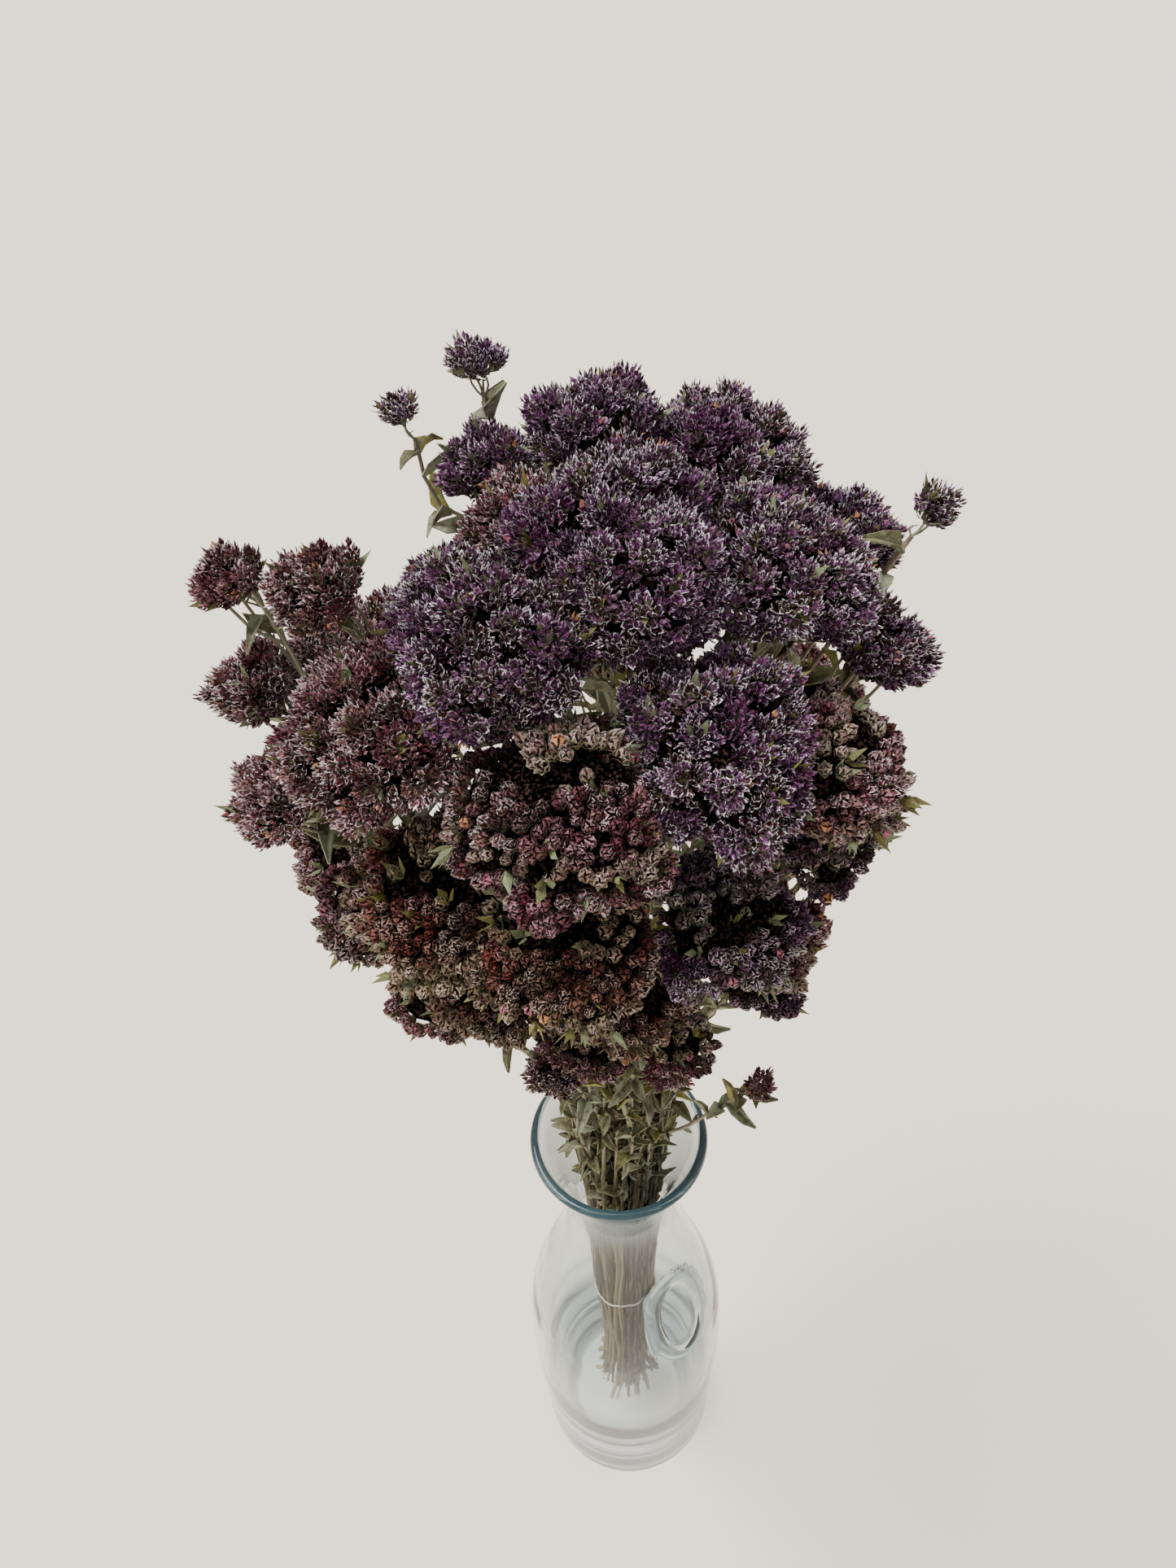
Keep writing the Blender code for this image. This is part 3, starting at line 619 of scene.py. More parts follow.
leaf_kit = kit("leaf_shapes", [draw_leaf(*row) for row in LEAF_SHAPES])
leaf_tree, given = new_tree("leaf_pairs", Collection=["Leaves"], Material=["Material"])
points = result(leaf_tree, "GeometryNodeMeshToPoints", {"Mesh": given["Geometry"]})
sockets = {0: named(leaf_tree, "turn", "FLOAT_VECTOR")}
rotation = result(leaf_tree, "FunctionNodeEulerToRotation", sockets)
placed = picked(leaf_tree, given["Leaves"], points, rotation, named(leaf_tree, "size"))
close_tree(leaf_tree, placed, given["Material"])

leaf_finish = Finish("dry_leaf")
tone = leaf_finish.attribute("tone")
veins = leaf_finish.noise(900, 3)
blotch = leaf_finish.noise(260, 3)
sage = leaf_finish.mix(tone.between(0.10, 0.65), (0.30, 0.33, 0.22), (0.15, 0.155, 0.070))
olive = leaf_finish.mix(tone.between(0.90, 0.95), sage, (0.26, 0.24, 0.05))
worn = leaf_finish.mix(blotch.between(0.46, 0.62) * 0.8, olive, (0.085, 0.058, 0.03))
pale = leaf_finish.mix(veins.between(0.5, 0.72) * 0.45, worn, (0.40, 0.42, 0.33))
leaf_finish.set(Base_Color=pale, Roughness=veins * 0.25 + 0.6)
leaf_finish.relief(veins, 0.0005, 0.5)


def leaf_turn(out, up):
    """The turn that lays a drawn leaf's length along out with its face towards up."""
    side = up.cross(out).normalized()
    return Matrix((out, side, out.cross(side))).transposed().to_euler()


rng = random.Random(23)
leaf_spots = []
for name in groups:
    for root, tip in runs[name][2]:
        out = (tip - root).normalized()
        long = LONG_LEAF * (tip - root).length
        leaf_spots.append((root, leaf_turn(out, Vector((0, 0, 1))), long, 0.3))
for free, carries, rooted in stem_lines:
    path = [below_rim(free[0], rng.uniform(*LEAFY_FROM))] * rooted + free
    at, length = smooth_path(path)
    joints = []
    run = rng.uniform(0, 8) * MM
    while run < length - 2 * MM:
        joints.append(run)
        low = at(run).z < CROWDED_BELOW
        run += (rng.uniform(6, 13) if low else rng.uniform(7, 13)) * MM
    if carries:
        joints.append(length - rng.uniform(2, 5) * MM)
    turned = rng.uniform(0, math.pi)
    for joint in joints:
        spot = at(joint)
        along = (at(min(length, joint + 2 * MM)) - at(max(0, joint - 2 * MM))).normalized()
        turned += math.pi / 2 + rng.uniform(-0.4, 0.4)
        across = along.orthogonal().normalized()
        for side in (0.0, math.pi):
            if rng.random() < (CARRIED_BARE if carries else BARE):
                continue
            inside = spot.z < RIM_EXIT + 6 * MM
            lift = rng.uniform(1.5, 3.0) if inside else rng.uniform(0.1, 1.5)
            out = Matrix.Rotation(turned + side, 3, along) @ across
            out = (out + along * lift).normalized()
            long = rng.uniform(3.5, 10) if spot.z < CROWDED_BELOW else rng.uniform(6, 13)
            leaf_spots.append((spot, leaf_turn(out, along), long * MM, rng.random()))

mesh = bpy.data.meshes.new("leaf_spots")
mesh.from_pydata([tuple(spot[0]) for spot in leaf_spots], [], [])
turns = [angle for spot in leaf_spots for angle in spot[1]]
mesh.attributes.new("turn", "FLOAT_VECTOR", "POINT").data.foreach_set("vector", turns)
carry(mesh, "size", [spot[2] for spot in leaf_spots])
carry(mesh, "tone", [spot[3] for spot in leaf_spots])
leaves = grow("leaves", mesh, leaf_tree, Leaves=leaf_kit, Material=leaf_finish.material)
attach(leaves, "root")
put_away(leaf_kit)

# Flower heads. Each is a corymb: tufts of spikelets on thin stalks that fan out of the stem's end. A
# spikelet is a bud of pointed bracts in crossed pairs, pale green at its foot, violet to wine above,
# with pale margins and tips that are whitened further into painted highlights. Low in the bunch they
# are short knobs in flat rows with pale rims.
STALK_SIDES = 4
STALK_ROWS = 5
STALK_CORNER = 0.28 * MM
SPIKELET_SINK = 1.8 * MM  # from the bed down to a spikelet's foot
SPIKELET_SCALES = (0.80, 1.14)
LUMP = 0.34  # how much of a CAD floret's height stays in the bed
UNDERSIDE_LIFT, YOUNG_LIFT = 0.12, 0.2
CORE_INSET = 3.0 * MM
UPRIGHT_BELOW, LEANING_ABOVE = 440 * MM, 495 * MM
FRONT, FRONT_BELOW = -42 * MM, 490 * MM
ROW_HEIGHT = 13 * MM
ROW_WAVER = 0.5  # of a row's height
LEAF_PITCH, UNDERSIDE_PITCH = 7 * MM, 5 * MM
NEEDLE, KNOB = (4, 2, 0.45), (5, 3, 0.85)  # whorls, bracts in each, how far the top closes
NEEDLE_SHAPES = (  # length and radius in millimetres, breadth, flare
    (4.8, 1.45, 0.46, 0.15),
    (4.4, 1.60, 0.50, 0.30),
    (5.0, 1.40, 0.44, 0.10),
    (4.1, 1.65, 0.50, 0.45),
    (4.6, 1.50, 0.46, 0.25),
)
KNOB_SHAPES = (
    (4.6, 1.75, 0.50, 0.10),
    (4.2, 1.90, 0.54, 0.20),
    (5.0, 1.65, 0.48, 0.05),
    (4.4, 1.80, 0.52, 0.35),
)


def draw_spikelet(seed, whorls, tall, stout, broad, flare):
    """A bud of closed three-sided bracts in whorls, standing on the origin along +Z."""
    rng = random.Random(seed)
    length, radius = tall * MM, stout * MM
    work = bmesh.new()
    layers = {label: work.verts.layers.float.new(label) for label in ("tip", "side", "rise", "knob")}
    levels, around, close = whorls
    for level in range(levels):
        share = level / (levels - 1)
        foot = length * (0.02 + 0.50 * share)
        belly = radius * math.sin(math.pi * (0.32 + 0.46 * share))
        for k in range(around):
            turn = math.pi / around * (2 * k + level % 2) + rng.uniform(-0.3, 0.3)
            reach = length * rng.uniform(0.40, 0.48)
            wide = radius * broad * (1 - 0.3 * share) * rng.uniform(0.85, 1.15)
            lean = belly * (1.05 + flare * rng.uniform(0.3, 1.2)) * (1 - close * share)
            corners = (
                ((0.2 * belly, 0.0, foot), 0.0, 0.0),
                ((0.75 * belly, wide, foot + 0.5 * reach), 0.5, 1.0),
                ((0.75 * belly, -wide, foot + 0.5 * reach), 0.5, -1.0),
                ((lean, wide * rng.uniform(-0.2, 0.2), foot + reach), 1.0, 0.0),
            )
            spin = Matrix.Rotation(turn, 3, "Z")
            bract = []
            for place, tip, side in corners:
                v = work.verts.new(spin @ Vector(place))
                v[layers["tip"]], v[layers["side"]], v[layers["rise"]] = tip, side, place[2] / length
                v[layers["knob"]] = around - 2
                bract.append(v)
            a, b, c, d = bract
            for face in ((a, c, d), (a, d, b), (a, b, c), (b, d, c)):
                work.faces.new(face)
    return meshed("spikelet", work)


def draw_whorl(seed, length, width):
    """Small green leaves round a tuft's foot, pointed and closed, opening upwards along +Z."""
    rng = random.Random(seed)
    work = bmesh.new()
    layer = work.verts.layers.float.new("leafy")
    for k in range(3):
        spin = Matrix.Rotation(math.pi / 1.5 * k + rng.uniform(-0.5, 0.5), 3, "Z")
        reach, wide = length * rng.uniform(0.7, 1.1), width * rng.uniform(0.8, 1.1) / 2
        out, rise = rng.uniform(0.3, 0.7), rng.uniform(0.7, 1.0)
        corners = (
            (0.0, 0.0, 0.0),
            (0.5 * out * reach, wide, 0.40 * rise * reach),
            (0.5 * out * reach, -wide, 0.40 * rise * reach),
            (out * reach, 0.0, rise * reach),
            (0.56 * out * reach, 0.0, 0.24 * rise * reach),
        )
        a, b, c, d, m = [work.verts.new(spin @ Vector(place)) for place in corners]
        for face in ((a, b, m), (a, m, c), (b, d, m), (m, d, c), (a, c, b), (b, c, d)):
            work.faces.new(face)
    for v in work.verts:
        v[layer] = 1.0
    return meshed("whorl", work)


def loft(work, rings):
    """Walls between each ring of corners and the next."""
    for a, b in zip(rings, rings[1:]):
        for k in range(len(a)):
            n = (k + 1) % len(a)
            work.faces.new((a[k], a[n], b[n], b[k]))


def draw_stalk(bow):
    """A bowed stalk one unit long from the origin along +Z, thin and closed."""
    work = bmesh.new()
    layer = work.verts.layers.float.new("stalk")
    rings = []
    for row in range(STALK_ROWS):
        t = row / (STALK_ROWS - 1)
        middle = bow * math.sin(math.pi * t)
        ring = []
        for k in range(STALK_SIDES):
            a = 2 * math.pi * k / STALK_SIDES
            r = STALK_CORNER * (0.8 + 0.5 * t)
            ring.append(work.verts.new((middle + r * math.cos(a), r * math.sin(a), t)))
        rings.append(ring)
    loft(work, rings)
    work.faces.new(rings[0])
    work.faces.new(rings[-1])
    for v in work.verts:
        v[layer] = 1.0
    return meshed("stalk", work)


Habit = namedtuple("Habit", "shapes tufts pitch depth sink dip gap upright")
needles = Habit(
    shapes=kit(
        "needle_shapes",
        [draw_spikelet(seed, NEEDLE, *row) for seed, row in enumerate(NEEDLE_SHAPES, 1)],
    ),
    tufts=7.6 * MM,
    pitch=1.42 * MM,
    depth=5 * MM,  # from the bed down to where a tuft's spikelets meet
    sink=SPIKELET_SINK,
    dip=2.8 * MM,  # how much lower a tuft's outer spikelets stand
    gap=0.0,  # between rows, of a row's height
    upright=0.2,
)
knobs = Habit(
    shapes=kit(
        "knob_shapes",
        [draw_spikelet(seed, KNOB, *row) for seed, row in enumerate(KNOB_SHAPES, 6)],
    ),
    tufts=9.5 * MM,
    pitch=2.1 * MM,
    depth=9 * MM,
    sink=0.8 * SPIKELET_SINK,
    dip=2.2 * MM,
    gap=0.26,
    upright=0.35,
)
whorl_kit = kit("whorl_shapes", [draw_whorl(1, 5.6 * MM, 1.7 * MM), draw_whorl(2, 4.6 * MM, 1.9 * MM)])
stalk_kit = kit("stalk_shapes", [draw_stalk(1.2 * MM), draw_stalk(0.4 * MM)])

floats = "Edge Top Gap Tufts Pitch Depth Sink Dip Upright Tousle Smallest Largest Core"
head_tree, given = new_tree(
    "corymb",
    Collection=["Spikelets", "Whorls", "Stalks"],
    Vector=["Seat", "Middle", "Axis"],
    Float=floats.split(),
    Int=["Seed"],
    Material=["Material"],
)


def lot(low, high, draw, chosen=None):
    """A number or direction drawn by lot for each point, or for each chosen index."""
    vector = isinstance(low, tuple)
    sockets = {0 if vector else 2: low, 1 if vector else 3: high, "Seed": given["Seed"] + draw}
    if chosen is not None:
        sockets["ID"] = chosen
    kind = "FLOAT_VECTOR" if vector else "FLOAT"
    made = add_node(head_tree, "FunctionNodeRandomValue", sockets, data_type=kind)
    return Value(head_tree, made.outputs[0 if vector else 1])


def stored(geometry, name, value, domain="POINT"):
    kind = "FLOAT_VECTOR" if getattr(value, "vector", False) else "FLOAT"
    sockets = {"Geometry": geometry, "Name": name, "Value": value}
    store = "GeometryNodeStoreNamedAttribute"
    return result(head_tree, store, sockets, domain=domain, data_type=kind)


def scattered(surface, chosen, pitch):
    sockets = {
        "Mesh": surface,
        "Selection": chosen,
        "Distance Min": pitch,
        "Density Max": 1e6,
        "Seed": given["Seed"],
    }
    scatter = "GeometryNodeDistributePointsOnFaces"
    made = add_node(head_tree, scatter, sockets, distribute_method="POISSON")
    return Value(head_tree, made.outputs["Points"]), Value(head_tree, made.outputs["Normal"])


def aimed(heading):
    return result(head_tree, "FunctionNodeAlignRotationToVector", {"Vector": heading}, axis="Z")


def spun(rotation, angle):
    around = result(head_tree, "FunctionNodeAxisAngleToRotation", {"Angle": angle})
    sockets = {0: rotation, 1: around}
    return result(head_tree, "FunctionNodeRotateRotation", sockets, rotation_space="LOCAL")


def moved(geometry, place):
    sockets = {"Geometry": geometry, "Position": place}
    return result(head_tree, "GeometryNodeSetPosition", sockets)


def at_nearest(points, value, index):
    sockets = {"Geometry": points, "Value": value, "Index": index}
    return result(head_tree, "GeometryNodeSampleIndex", sockets, data_type="FLOAT_VECTOR")


def together(*parts):
    """Several geometries as one."""
    joined = add_node(head_tree, "GeometryNodeJoinGeometry")
    for part in parts:
        head_tree.links.new(part.socket, joined.inputs[0])
    return Value(head_tree, joined.outputs[0])


sockets = {"Mesh": given["Geometry"], "Level": 1}
surface = result(head_tree, "GeometryNodeSubdivisionSurface", sockets)
position = result(head_tree, "GeometryNodeInputPosition")
facing = (position - given["Middle"]).normalized().dot(given["Axis"])
wobble = result(head_tree, "ShaderNodeTexNoise", {"Vector": position, "Scale": 38.0})
depth = (given["Top"] - position.dot((0.0, 0.0, 1.0))) * (1 / ROW_HEIGHT)
row = 1.0 - (depth + wobble * ROW_WAVER).fraction()
in_row = row > given["Gap"]
tufts, normal = scattered(surface, (facing > given["Edge"]) * in_row, given["Tufts"])
fan = (position - given["Seat"]).normalized() * 0.7
tufts = stored(tufts, "up", (fan + normal * 0.3).normalized())
spots, _ = scattered(surface, (facing > given["Edge"] - 0.1) * in_row, given["Pitch"])
sockets = {"Geometry": tufts, "Sample Position": position}
nearest = result(head_tree, "GeometryNodeSampleNearest", sockets)
tuft_middle = at_nearest(tufts, position, nearest)
tuft_up = at_nearest(tufts, named(head_tree, "up", "FLOAT_VECTOR"), nearest)
foot = tuft_middle - tuft_up * (given["Depth"] * lot(0.85, 1.25, 1.0, nearest))
shake = lot((-1, -1, -1), (1, 1, 1), 2.0) * given["Tousle"]
heading = ((position - foot).normalized() + given["Axis"] * given["Upright"] + shake).normalized()
within_row = (row - given["Gap"]).between(0.0, 0.35) + (given["Gap"] < 0.01)
within = (facing - given["Edge"]).between(0.0, 0.35)
spots = stored(spots, "heading", heading)
spots = stored(spots, "tuft", lot(0.0, 1.0, 3.0, nearest))
spots = stored(spots, "inner", within * within_row.between(0.0, 1.0))
away = (position - tuft_middle).length()
dip = away.between(given["Tufts"] * 0.2, given["Tufts"] * 0.8) * given["Dip"]
dip = dip + given["Sink"] * lot(0.7, 1.4, 12.0, nearest)
spots = stored(spots, "dip", dip)
sunk = named(head_tree, "heading", "FLOAT_VECTOR") * named(head_tree, "dip")
spots = moved(spots, position - sunk)
rotation = spun(aimed(named(head_tree, "heading", "FLOAT_VECTOR")), lot(0.0, 2 * math.pi, 4.0))
scale = lot(given["Smallest"], given["Largest"], 5.0)
spikelets = picked(head_tree, given["Spikelets"], spots, rotation, scale)
spikelets = stored(spikelets, "tint", lot(0.0, 1.0, 6.0), "INSTANCE")
# How strongly each spikelet's margins take the painted highlight, drawn by lot.
spikelets = stored(spikelets, "frosty", lot(0.0, 1.0, 8.0), "INSTANCE")

up = named(head_tree, "up", "FLOAT_VECTOR")
feet = moved(tufts, position - up * given["Depth"])
down = given["Seat"] - position
rotation = spun(aimed(down), lot(0.0, 2 * math.pi, 7.0))
scale = result(head_tree, "ShaderNodeCombineXYZ", {0: 1.0, 1: 1.0, 2: down.length()})
stalks = picked(head_tree, given["Stalks"], feet, rotation, scale)
low = moved(tufts, position - up * (given["Sink"] * 1.3))
between, outward = scattered(surface, (facing > given["Edge"]) * (1.0 - in_row), LEAF_PITCH)
between = stored(between, "up", outward)
between = moved(between, position - up * given["Sink"])
under, downward = scattered(surface, facing < given["Edge"], UNDERSIDE_PITCH)
under = stored(under, "up", (downward + given["Axis"] * 0.4).normalized())
under = moved(under, position - up * (given["Sink"] * 1.5))
leafy = together(low, between, under)
rotation = spun(aimed(up), lot(0.0, 2 * math.pi, 9.0))
whorls = picked(head_tree, given["Whorls"], leafy, rotation, lot(0.7, 1.3, 10.0))
whorls = stored(whorls, "tint", lot(0.0, 1.0, 11.0), "INSTANCE")
# The core: the bed drawn in below the tufts, which the finish colours as painted shade between them.
outward = result(head_tree, "GeometryNodeInputNormal") * given["Sink"]
inset = given["Middle"] + (position - given["Middle"]) * given["Core"] - outward
core = stored(moved(given["Geometry"], inset), "core", 1.0)
close_tree(head_tree, together(spikelets, stalks, whorls, core), given["Material"])


def floret_finish(name, deep, body, bright, light, tip_glint_colour, rim_colour):
    """Dry bracts: pale feet and rims, a dark body, pale margins and tips with painted highlights, a few
    dried flowers.
    """
    finish = Finish(name)
    tip, side, rise, knob = (finish.attribute(label) for label in ("tip", "side", "rise", "knob"))
    tint, tuft, frosty = (finish.attribute(label) for label in ("tint", "tuft", "frosty"))
    inner, core, stalk, leafy = (
        finish.attribute(label) for label in ("inner", "core", "stalk", "leafy")
    )
    drift = finish.noise(45, 2)
    grain = finish.noise(1900, 2)
    margin = abs(side) + (tip - 0.5) * 2.0
    hue = finish.mix(drift.between(0.42, 0.58), body, deep)
    hue = finish.mix(tuft.between(0.22, 0.05) * 0.8, hue, bright)
    hue = finish.mix(tuft.between(0.64, 0.80) * 0.8, hue, (0.065, 0.026, 0.010))
    hue = finish.mix(tint.between(0.25, 0.85) * 0.7 * (1.0 - knob * 0.3), hue, light)
    hue = finish.mix(grain.between(0.57, 0.42) * 0.9, hue, (0.004, 0.001, 0.0015))
    foot = finish.mix(rise.between(0.06, 0.32), (0.25, 0.28, 0.15), hue)
    # Pale bract margins and tips, whitened further as painted highlights, most towards each spikelet's
    # top.
    margin_glint = (margin - knob * 0.06).between(0.50, 0.80) * (rise.between(0.15, 0.6) * 0.7 + 0.3)
    margin_glint = margin_glint * (1.0 - knob * 0.45) * (1.0 - tuft.between(0.30, 0.05) * 0.6)
    margin_glint = margin_glint * (grain.between(0.43, 0.55) * 0.9 + 0.1) * (frosty.between(0.20, 0.70) * 0.9 + 0.1)
    glinted = finish.mix(margin_glint, foot, tip_glint_colour)
    pale = margin.between(0.0, 0.6) * (1.0 - inner) * rise.between(1.0, 0.55)
    rimmed = finish.mix(pale * 0.65, glinted, rim_colour)
    crumb = rise.between(0.68, 0.74)
    pink = finish.mix(tint.between(0.980, 0.982) * crumb, rimmed, (0.45, 0.15, 0.20))
    rust = finish.mix(tint.between(0.988, 0.990) * crumb, pink, (0.52, 0.25, 0.12))
    stalked = finish.mix(stalk, rust, (0.20, 0.195, 0.14))
    leaf = finish.mix(tint.between(0.2, 0.8), (0.20, 0.235, 0.13), (0.17, 0.16, 0.045))
    leaf = finish.mix(grain.between(0.45, 0.6) * 0.4, leaf, (0.06, 0.05, 0.03))
    leaved = finish.mix(leafy, stalked, leaf)
    finish.set(Base_Color=leaved, Roughness=grain * 0.2 + 0.45, Specular_IOR_Level=0.28)
    # The core is painted shade: near-black with a few dull wine flecks, a plain diffuse shader seen
    # through the gaps between tufts.
    shade_fleck_mask = finish.noise(1300, 3).between(0.50, 0.64)
    painted_shade_colour = finish.mix(shade_fleck_mask, (0.0015, 0.001, 0.0015), (0.045, 0.026, 0.020))
    finish.blend(core, add_node(finish.tree, "ShaderNodeBsdfDiffuse", {0: painted_shade_colour}).outputs[0])
    return finish.material


floret_colours = {  # deep, body and bright, then light, tips with painted highlights, and rims
    "violet_florets": (
        *((0.042, 0.004, 0.014), (0.075, 0.009, 0.058), (0.125, 0.010, 0.088)),
        *((0.32, 0.11, 0.29), (1.0, 0.95, 1.0), (0.30, 0.31, 0.20)),
    ),
    "wine_florets": (
        *((0.075, 0.008, 0.010), (0.150, 0.022, 0.034), (0.140, 0.022, 0.044)),
        *((0.52, 0.24, 0.26), (1.0, 0.92, 0.96), (0.42, 0.38, 0.26)),
    ),
    "russet_florets": (
        *((0.060, 0.007, 0.006), (0.150, 0.024, 0.016), (0.190, 0.036, 0.024)),
        *((0.32, 0.11, 0.08), (0.96, 0.84, 0.76), (0.46, 0.40, 0.26)),
    ),
}
floret_finishes = {name: floret_finish(name, *row) for name, row in floret_colours.items()}


def bed_mesh(head, axis, lift):
    """The bed that a head's tufts stand on: the CAD head with its florets and underside drawn in."""
    for v in head.work.verts:
        near = [e.other_vert(v).co for e in v.link_edges]
        base = sum(near, Vector()) / len(near)
        if len(near) == 3 and (v.co - base).dot(v.co - head.middle) > 0:
            v.co = base + (v.co - base) * LUMP
    for v in head.work.verts:
        low = (v.co - head.middle).dot(axis)
        if low < 0:
            v.co -= axis * low * lift
    return meshed(head.node + "_bed", head.work)


def kept_inside(mesh, box):
    """Moves the few corners that reach past the solids' box back onto it."""
    corners = np.empty(3 * len(mesh.vertices), np.float32)
    mesh.vertices.foreach_get("co", corners)
    low, high = (np.array(corner, np.float32) for corner in box)
    mesh.vertices.foreach_set("co", np.clip(corners.reshape(-1, 3), low, high).ravel())


slots = {row["node"]: row["material_slot"] for row in frame["record"]["subparts"]}
for seed, head in enumerate(heads):
    youth = min(1.0, head.size / FULL_SIZE)
    rise = (head.middle.z - UPRIGHT_BELOW) / (LEANING_ABOVE - UPRIGHT_BELOW)
    leaning = min(1.0, max(0.0, rise))
    axis = (head.lean * leaning + Vector((0, 0, 1)) * (1 - leaning)).normalized()
    grown_up = youth == 1.0
    in_front = head.middle.y < FRONT and head.middle.z < FRONT_BELOW
    habit = knobs if grown_up and (leaning < 0.5 or in_front) else needles
    piece = grow(
        "flowering_" + head.node,
        bed_mesh(head, axis, UNDERSIDE_LIFT if grown_up else YOUNG_LIFT),
        head_tree,
        Spikelets=habit.shapes,
        Whorls=whorl_kit,
        Stalks=stalk_kit,
        Seat=head.seat,
        Middle=head.middle,
        Axis=axis,
        Edge=-0.55 - 1.1 * max(0.0, 1 - head.size / (20 * MM)),
        Top=head.top,
        Gap=habit.gap,
        Tufts=habit.tufts if grown_up else min(habit.tufts, 0.6 * head.size),
        Pitch=habit.pitch * (0.6 + 0.4 * youth),
        Depth=habit.depth * (0.2 + 0.8 * youth),
        Sink=habit.sink * max(0.1, (youth - 0.4) / 0.6),
        Dip=habit.dip * youth,
        Upright=habit.upright,
        Tousle=0.22,
        Smallest=SPIKELET_SCALES[0] * (0.85 + 0.15 * youth),
        Largest=SPIKELET_SCALES[1] * (0.85 + 0.15 * youth),
        Core=1 - CORE_INSET * (2.2 - 1.2 * youth) / head.size,
        Seed=20 * seed + 1,
        Material=floret_finishes[slots[head.node]],
    )
    kept_inside(piece.data, cad_box)
    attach(piece, "root")
    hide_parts(head.node)
for spare in (needles.shapes, knobs.shapes, whorl_kit, stalk_kit):
    put_away(spare)

# The tie: a thin pale rubber band, pushed up over the feet of the stems. It presses them together
# inside the glass, follows the outline of the bundle and waves a little up and down.
BAND_HEIGHT = 140 * MM
BAND_WAVE = 0.5 * MM
BAND_REACH = 0.5 * MM
BAND_THICK, BAND_TALL = 0.5 * MM, 1.3 * MM
BAND_TURNS, BAND_SIDES = 72, 8
bundle = [below_rim(path[0], BAND_HEIGHT) for path, _, rooted in stem_lines if rooted]
work = bmesh.new()
rings = []
for k in range(BAND_TURNS):
    around = 2 * math.pi * k / BAND_TURNS
    way = Vector((math.sin(around), -math.cos(around), 0))
    reach = max(p.dot(way) for p in bundle) + STEM_CORNER + BAND_REACH
    wave = BAND_WAVE * math.sin(3 * around) + BAND_HEIGHT
    ring = []
    for j in range(BAND_SIDES):
        a = 2 * math.pi * j / BAND_SIDES
        lift = Vector((0, 0, wave + BAND_TALL / 2 * math.sin(a)))
        ring.append(work.verts.new(way * (reach + BAND_THICK / 2 * math.cos(a)) + lift))
    rings.append(ring)
loft(work, rings + rings[:1])
band = link("rubber_band", meshed("rubber_band", work))
band.data.shade_smooth()
band_finish = Finish("pale_rubber")
grain = band_finish.noise(900, 2)
colour = band_finish.mix(grain, (0.50, 0.46, 0.37), (0.64, 0.60, 0.50))
band_finish.set(Base_Color=colour, Roughness=grain * 0.1 + 0.55)
band.data.materials.append(band_finish.material)
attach(band, "root")
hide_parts("tie")

# The carafe: clear blown glass with a blue-green cast where it is thick. It is flared to a rolled lip,
# with painted shade round the neck under the lip, and has a heavy pushed-up base and a plain raised
# oval on its shoulder.
GLASS_HEIGHT = 260 * MM
FOOT_RADIUS = 39.5 * MM
BELLY_RADIUS = 42 * MM
BELLY_HEIGHT = 85 * MM
NECK_RADIUS = 18.5 * MM
NECK_HEIGHT = 212 * MM
LIP_RADIUS = 31.5 * MM
LIP_BEAD = 1.8 * MM
HEEL_RADIUS = 5 * MM
WALL = 3 * MM
FLOOR = 10 * MM
PUNT = 4 * MM
SHOULDER_SKEW = 1.5
FLARE_POWER = 1.8
OVAL_AZIMUTH = math.radians(40)
OVAL_HEIGHT = 157 * MM
OVAL_WIDE, OVAL_TALL = 12 * MM, 21 * MM
OVAL_CORD, OVAL_RISE = 2.0 * MM, 0.9 * MM
BOWL_TOP, BOWL_LOW = 74 * MM, 32 * MM  # the wall grows thicker between these heights
BOWL_THICK = 4 * MM
NECK_SHADE_LOW, NECK_SHADE_HIGH = 202 * MM, 262 * MM  # the neck is painted with shade between these heights
BOWL_LINE, HEAVY_BELOW = 80 * MM, 60 * MM
FADE = 12 * MM
FAINT, STRONG = 0.3, 0.85  # how deep the glass looks under and round the floor
LIP_FRONT = 0.3  # of the lip's depth, left at its back; the front carries painted shade
OVAL_FROM, OVAL_TO = math.radians(20), math.radians(60)


def glass_radius(height):
    """The outer radius between the heel and the lip."""
    if height <= BELLY_HEIGHT:
        return FOOT_RADIUS + (BELLY_RADIUS - FOOT_RADIUS) * height / BELLY_HEIGHT
    if height <= NECK_HEIGHT:
        t = ((height - BELLY_HEIGHT) / (NECK_HEIGHT - BELLY_HEIGHT)) ** SHOULDER_SKEW
        return BELLY_RADIUS + (NECK_RADIUS - BELLY_RADIUS) * (1 - math.cos(math.pi * t)) / 2
    t = (height - NECK_HEIGHT) / (GLASS_HEIGHT - LIP_BEAD - NECK_HEIGHT)
    return NECK_RADIUS + (LIP_RADIUS - NECK_RADIUS) * t**FLARE_POWER


def arc(middle, radius, start, end, count, thick):
    """Radius, height and glass depth of points on a round stretch of the profile."""
    angles = np.linspace(math.radians(start), math.radians(end), count)
    return [(middle[0] + radius * math.cos(a), middle[1] + radius * math.sin(a), thick) for a in angles]


def outer_depth(z):
    """How deep the outer wall looks: painted shade at the neck, heavy at the bowl's line and near the
    foot.
    """
    neck_shade = 0.78 * min(1.0, max(0.0, min(z - NECK_SHADE_LOW, NECK_SHADE_HIGH - z) / FADE))
    heavy = max(0.0, 1 - abs(z - BOWL_LINE) / FADE) + 1.1 * max(0.0, 1 - z / HEAVY_BELOW)
    return neck_shade + 0.6 * heavy


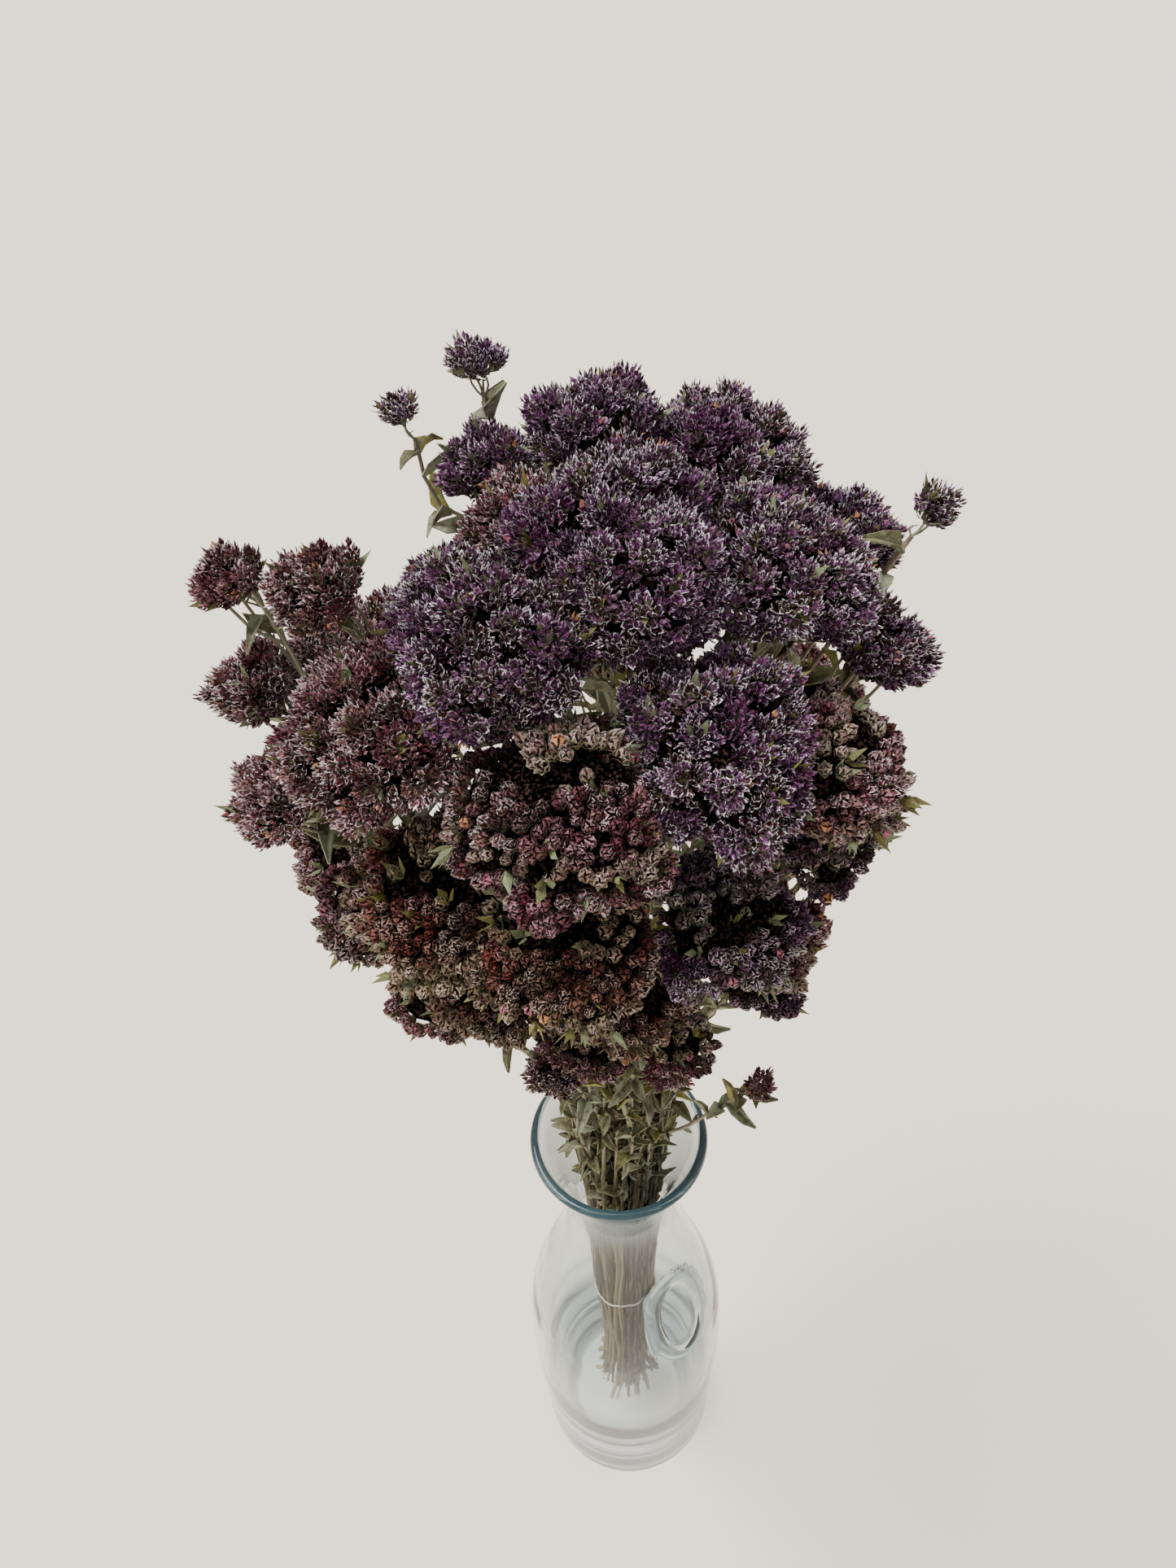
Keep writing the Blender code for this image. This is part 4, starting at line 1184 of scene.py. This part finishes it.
top = GLASS_HEIGHT - LIP_BEAD
levels = list(np.arange(HEEL_RADIUS + 3 * MM, 128 * MM, 4 * MM))
levels += list(np.arange(130 * MM, 184 * MM, 0.9 * MM)) + list(np.arange(186 * MM, top, 3 * MM))
under = [(r * FOOT_RADIUS, PUNT * (1 - (r / 0.8) ** 2), FAINT) for r in (0.2, 0.4, 0.6, 0.7, 0.8)]
heel = arc((FOOT_RADIUS - HEEL_RADIUS, HEEL_RADIUS), HEEL_RADIUS, -90, 0, 8, STRONG)
profile = under + heel + [(glass_radius(z), z, outer_depth(z)) for z in levels]
outer_rows = range(len(under), len(profile))
profile += arc((LIP_RADIUS - LIP_BEAD, top), LIP_BEAD, 0, 180, 9, 1.0)
for z in reversed([z for z in levels if z > BOWL_LOW][::3]):
    share = min(1.0, max(0.0, (BOWL_TOP - z) / (BOWL_TOP - BOWL_LOW)))
    deep = 0.8 * math.sin(math.pi * share) ** 2 * (share < 1)
    profile.append((glass_radius(z) - WALL - BOWL_THICK * share**2, z, deep))
inside = glass_radius(BOWL_LOW) - WALL - BOWL_THICK - (BOWL_LOW - FLOOR)
turning = (inside, BOWL_LOW), BOWL_LOW - FLOOR
profile += arc(*turning, -5, -40, 5, STRONG) + arc(*turning, -50, -90, 5, FAINT)
profile += [(r * inside, FLOOR, FAINT) for r in (0.75, 0.5, 0.25)]

fine = np.linspace(OVAL_FROM, OVAL_TO, 40)
coarse = np.linspace(OVAL_TO, OVAL_FROM + 2 * math.pi, 72)[1:-1]
azimuths = [float(a) for a in list(fine) + list(coarse)]
work = bmesh.new()
layer = work.verts.layers.float.new("thick")
grid = []
for row, (radius, height, thick) in enumerate(profile):
    ring = []
    for azimuth in azimuths:
        raised = 0.0
        if row in outer_rows:
            swing, rise = (azimuth - OVAL_AZIMUTH) * radius, height - OVAL_HEIGHT
            steep = math.hypot(swing / OVAL_WIDE, rise / OVAL_TALL)
            slope = math.hypot(swing / OVAL_WIDE**2, rise / OVAL_TALL**2) / max(steep, 1e-6)
            off = (steep - 1) / max(slope, 1e-6) / (1.5 * OVAL_CORD)
            raised = max(0.0, 1 - off * off) ** 0.5
        reach = radius + OVAL_RISE * raised
        v = work.verts.new((reach * math.sin(azimuth), -reach * math.cos(azimuth), height))
        # The rolled lip is painted deeper at its front than at its back: painted shade where the camera
        # looks down through it.
        front = LIP_FRONT + (1 - LIP_FRONT) * max(0.0, math.cos(azimuth)) if thick == 1.0 else 1.0
        v[layer] = max(thick * front, 0.75 * raised)
        ring.append(v)
    grid.append(ring)
loft(work, grid)
for ring, height in ((grid[0], PUNT), (grid[-1], FLOOR)):
    pole = work.verts.new((0, 0, height))
    for a, b in zip(ring, ring[1:] + ring[:1]):
        work.faces.new((a, b, pole))
carafe = link("glass_carafe", meshed("glass_carafe", work))
carafe.data.shade_smooth()

glass = Finish("clear_glass")
ripple = glass.noise(35, 2, (1, 1, 0.5))
# Darker towards the bottom: painted shade standing in for the shadow that the glass does not cast.
painted_low_shade = glass.height().between(0.095, 0.030)
clear = glass.mix(painted_low_shade, (0.80, 0.85, 0.85), (0.48, 0.545, 0.56))
glass.set(Base_Color=clear, Roughness=0.03, IOR=1.5, Transmission_Weight=1.0)
glass.set(Specular_IOR_Level=0.1, Specular_Tint=(0.4, 0.42, 0.45, 1.0))
glass.relief(ripple, 0.0012, 0.25)
thick = glass.attribute("thick")
colour = glass.mix(thick.between(0.6, 0.95), (0.13, 0.205, 0.235), (0.06, 0.14, 0.17))
sockets = {"Base Color": colour, "Roughness": 0.15, "Transmission Weight": 0.3}
deep_glass = add_node(glass.tree, "ShaderNodeBsdfPrincipled", sockets).outputs[0]
glass.blend(thick.between(0.0, 1.0) * 0.62, deep_glass)
carafe.data.materials.append(glass.material)
carafe.visible_shadow = False
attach(carafe, "root")
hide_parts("carafe")

# The bunch stands on a wide pale sheet under soft light from a large window at the upper left, and
# is seen from above, at forty-five degrees.
sheet = bmesh.new()
bmesh.ops.create_grid(sheet, x_segments=1, y_segments=1, size=8.0)
floor = link("pale_sheet", meshed("pale_sheet", sheet))
paper = Finish("pale_sheet")
cloud = paper.noise(1.5, 2)
paper.set(Base_Color=paper.mix(cloud, (0.93, 0.835, 0.70), (0.96, 0.87, 0.75)), Roughness=0.85)
floor.data.materials.append(paper.material)

window = bpy.data.lights.new("window", "SUN")
window.energy, window.angle, window.color = 5.5, math.radians(40), (1.0, 0.98, 0.95)
shining = Vector((0.55, -0.12, -1.0))
link("window", window).rotation_euler = shining.to_track_quat("-Z", "Y").to_euler()
sky = bpy.data.worlds.new("soft_room")
sky.use_nodes = True
background = sky.node_tree.nodes["Background"].inputs
background["Color"].default_value = (1.0, 0.98, 0.96, 1.0)
background["Strength"].default_value = 0.70
bpy.context.scene.world = sky

CAMERA_PLACE = Vector((-0.004, -0.209, 0.6446))
PITCH, ROLL = math.radians(45), math.radians(-3.15)
lens = bpy.data.cameras.new("camera")
lens.lens, lens.sensor_width = 27.2, 36.0
lens.clip_start, lens.clip_end = 0.01, 30.0
camera = link("camera", lens)
turn = Matrix.Rotation(PITCH, 4, "X") @ Matrix.Rotation(ROLL, 4, "Z")
camera.matrix_world = Matrix.Translation(CAMERA_PLACE) @ turn
bpy.context.scene.camera = camera
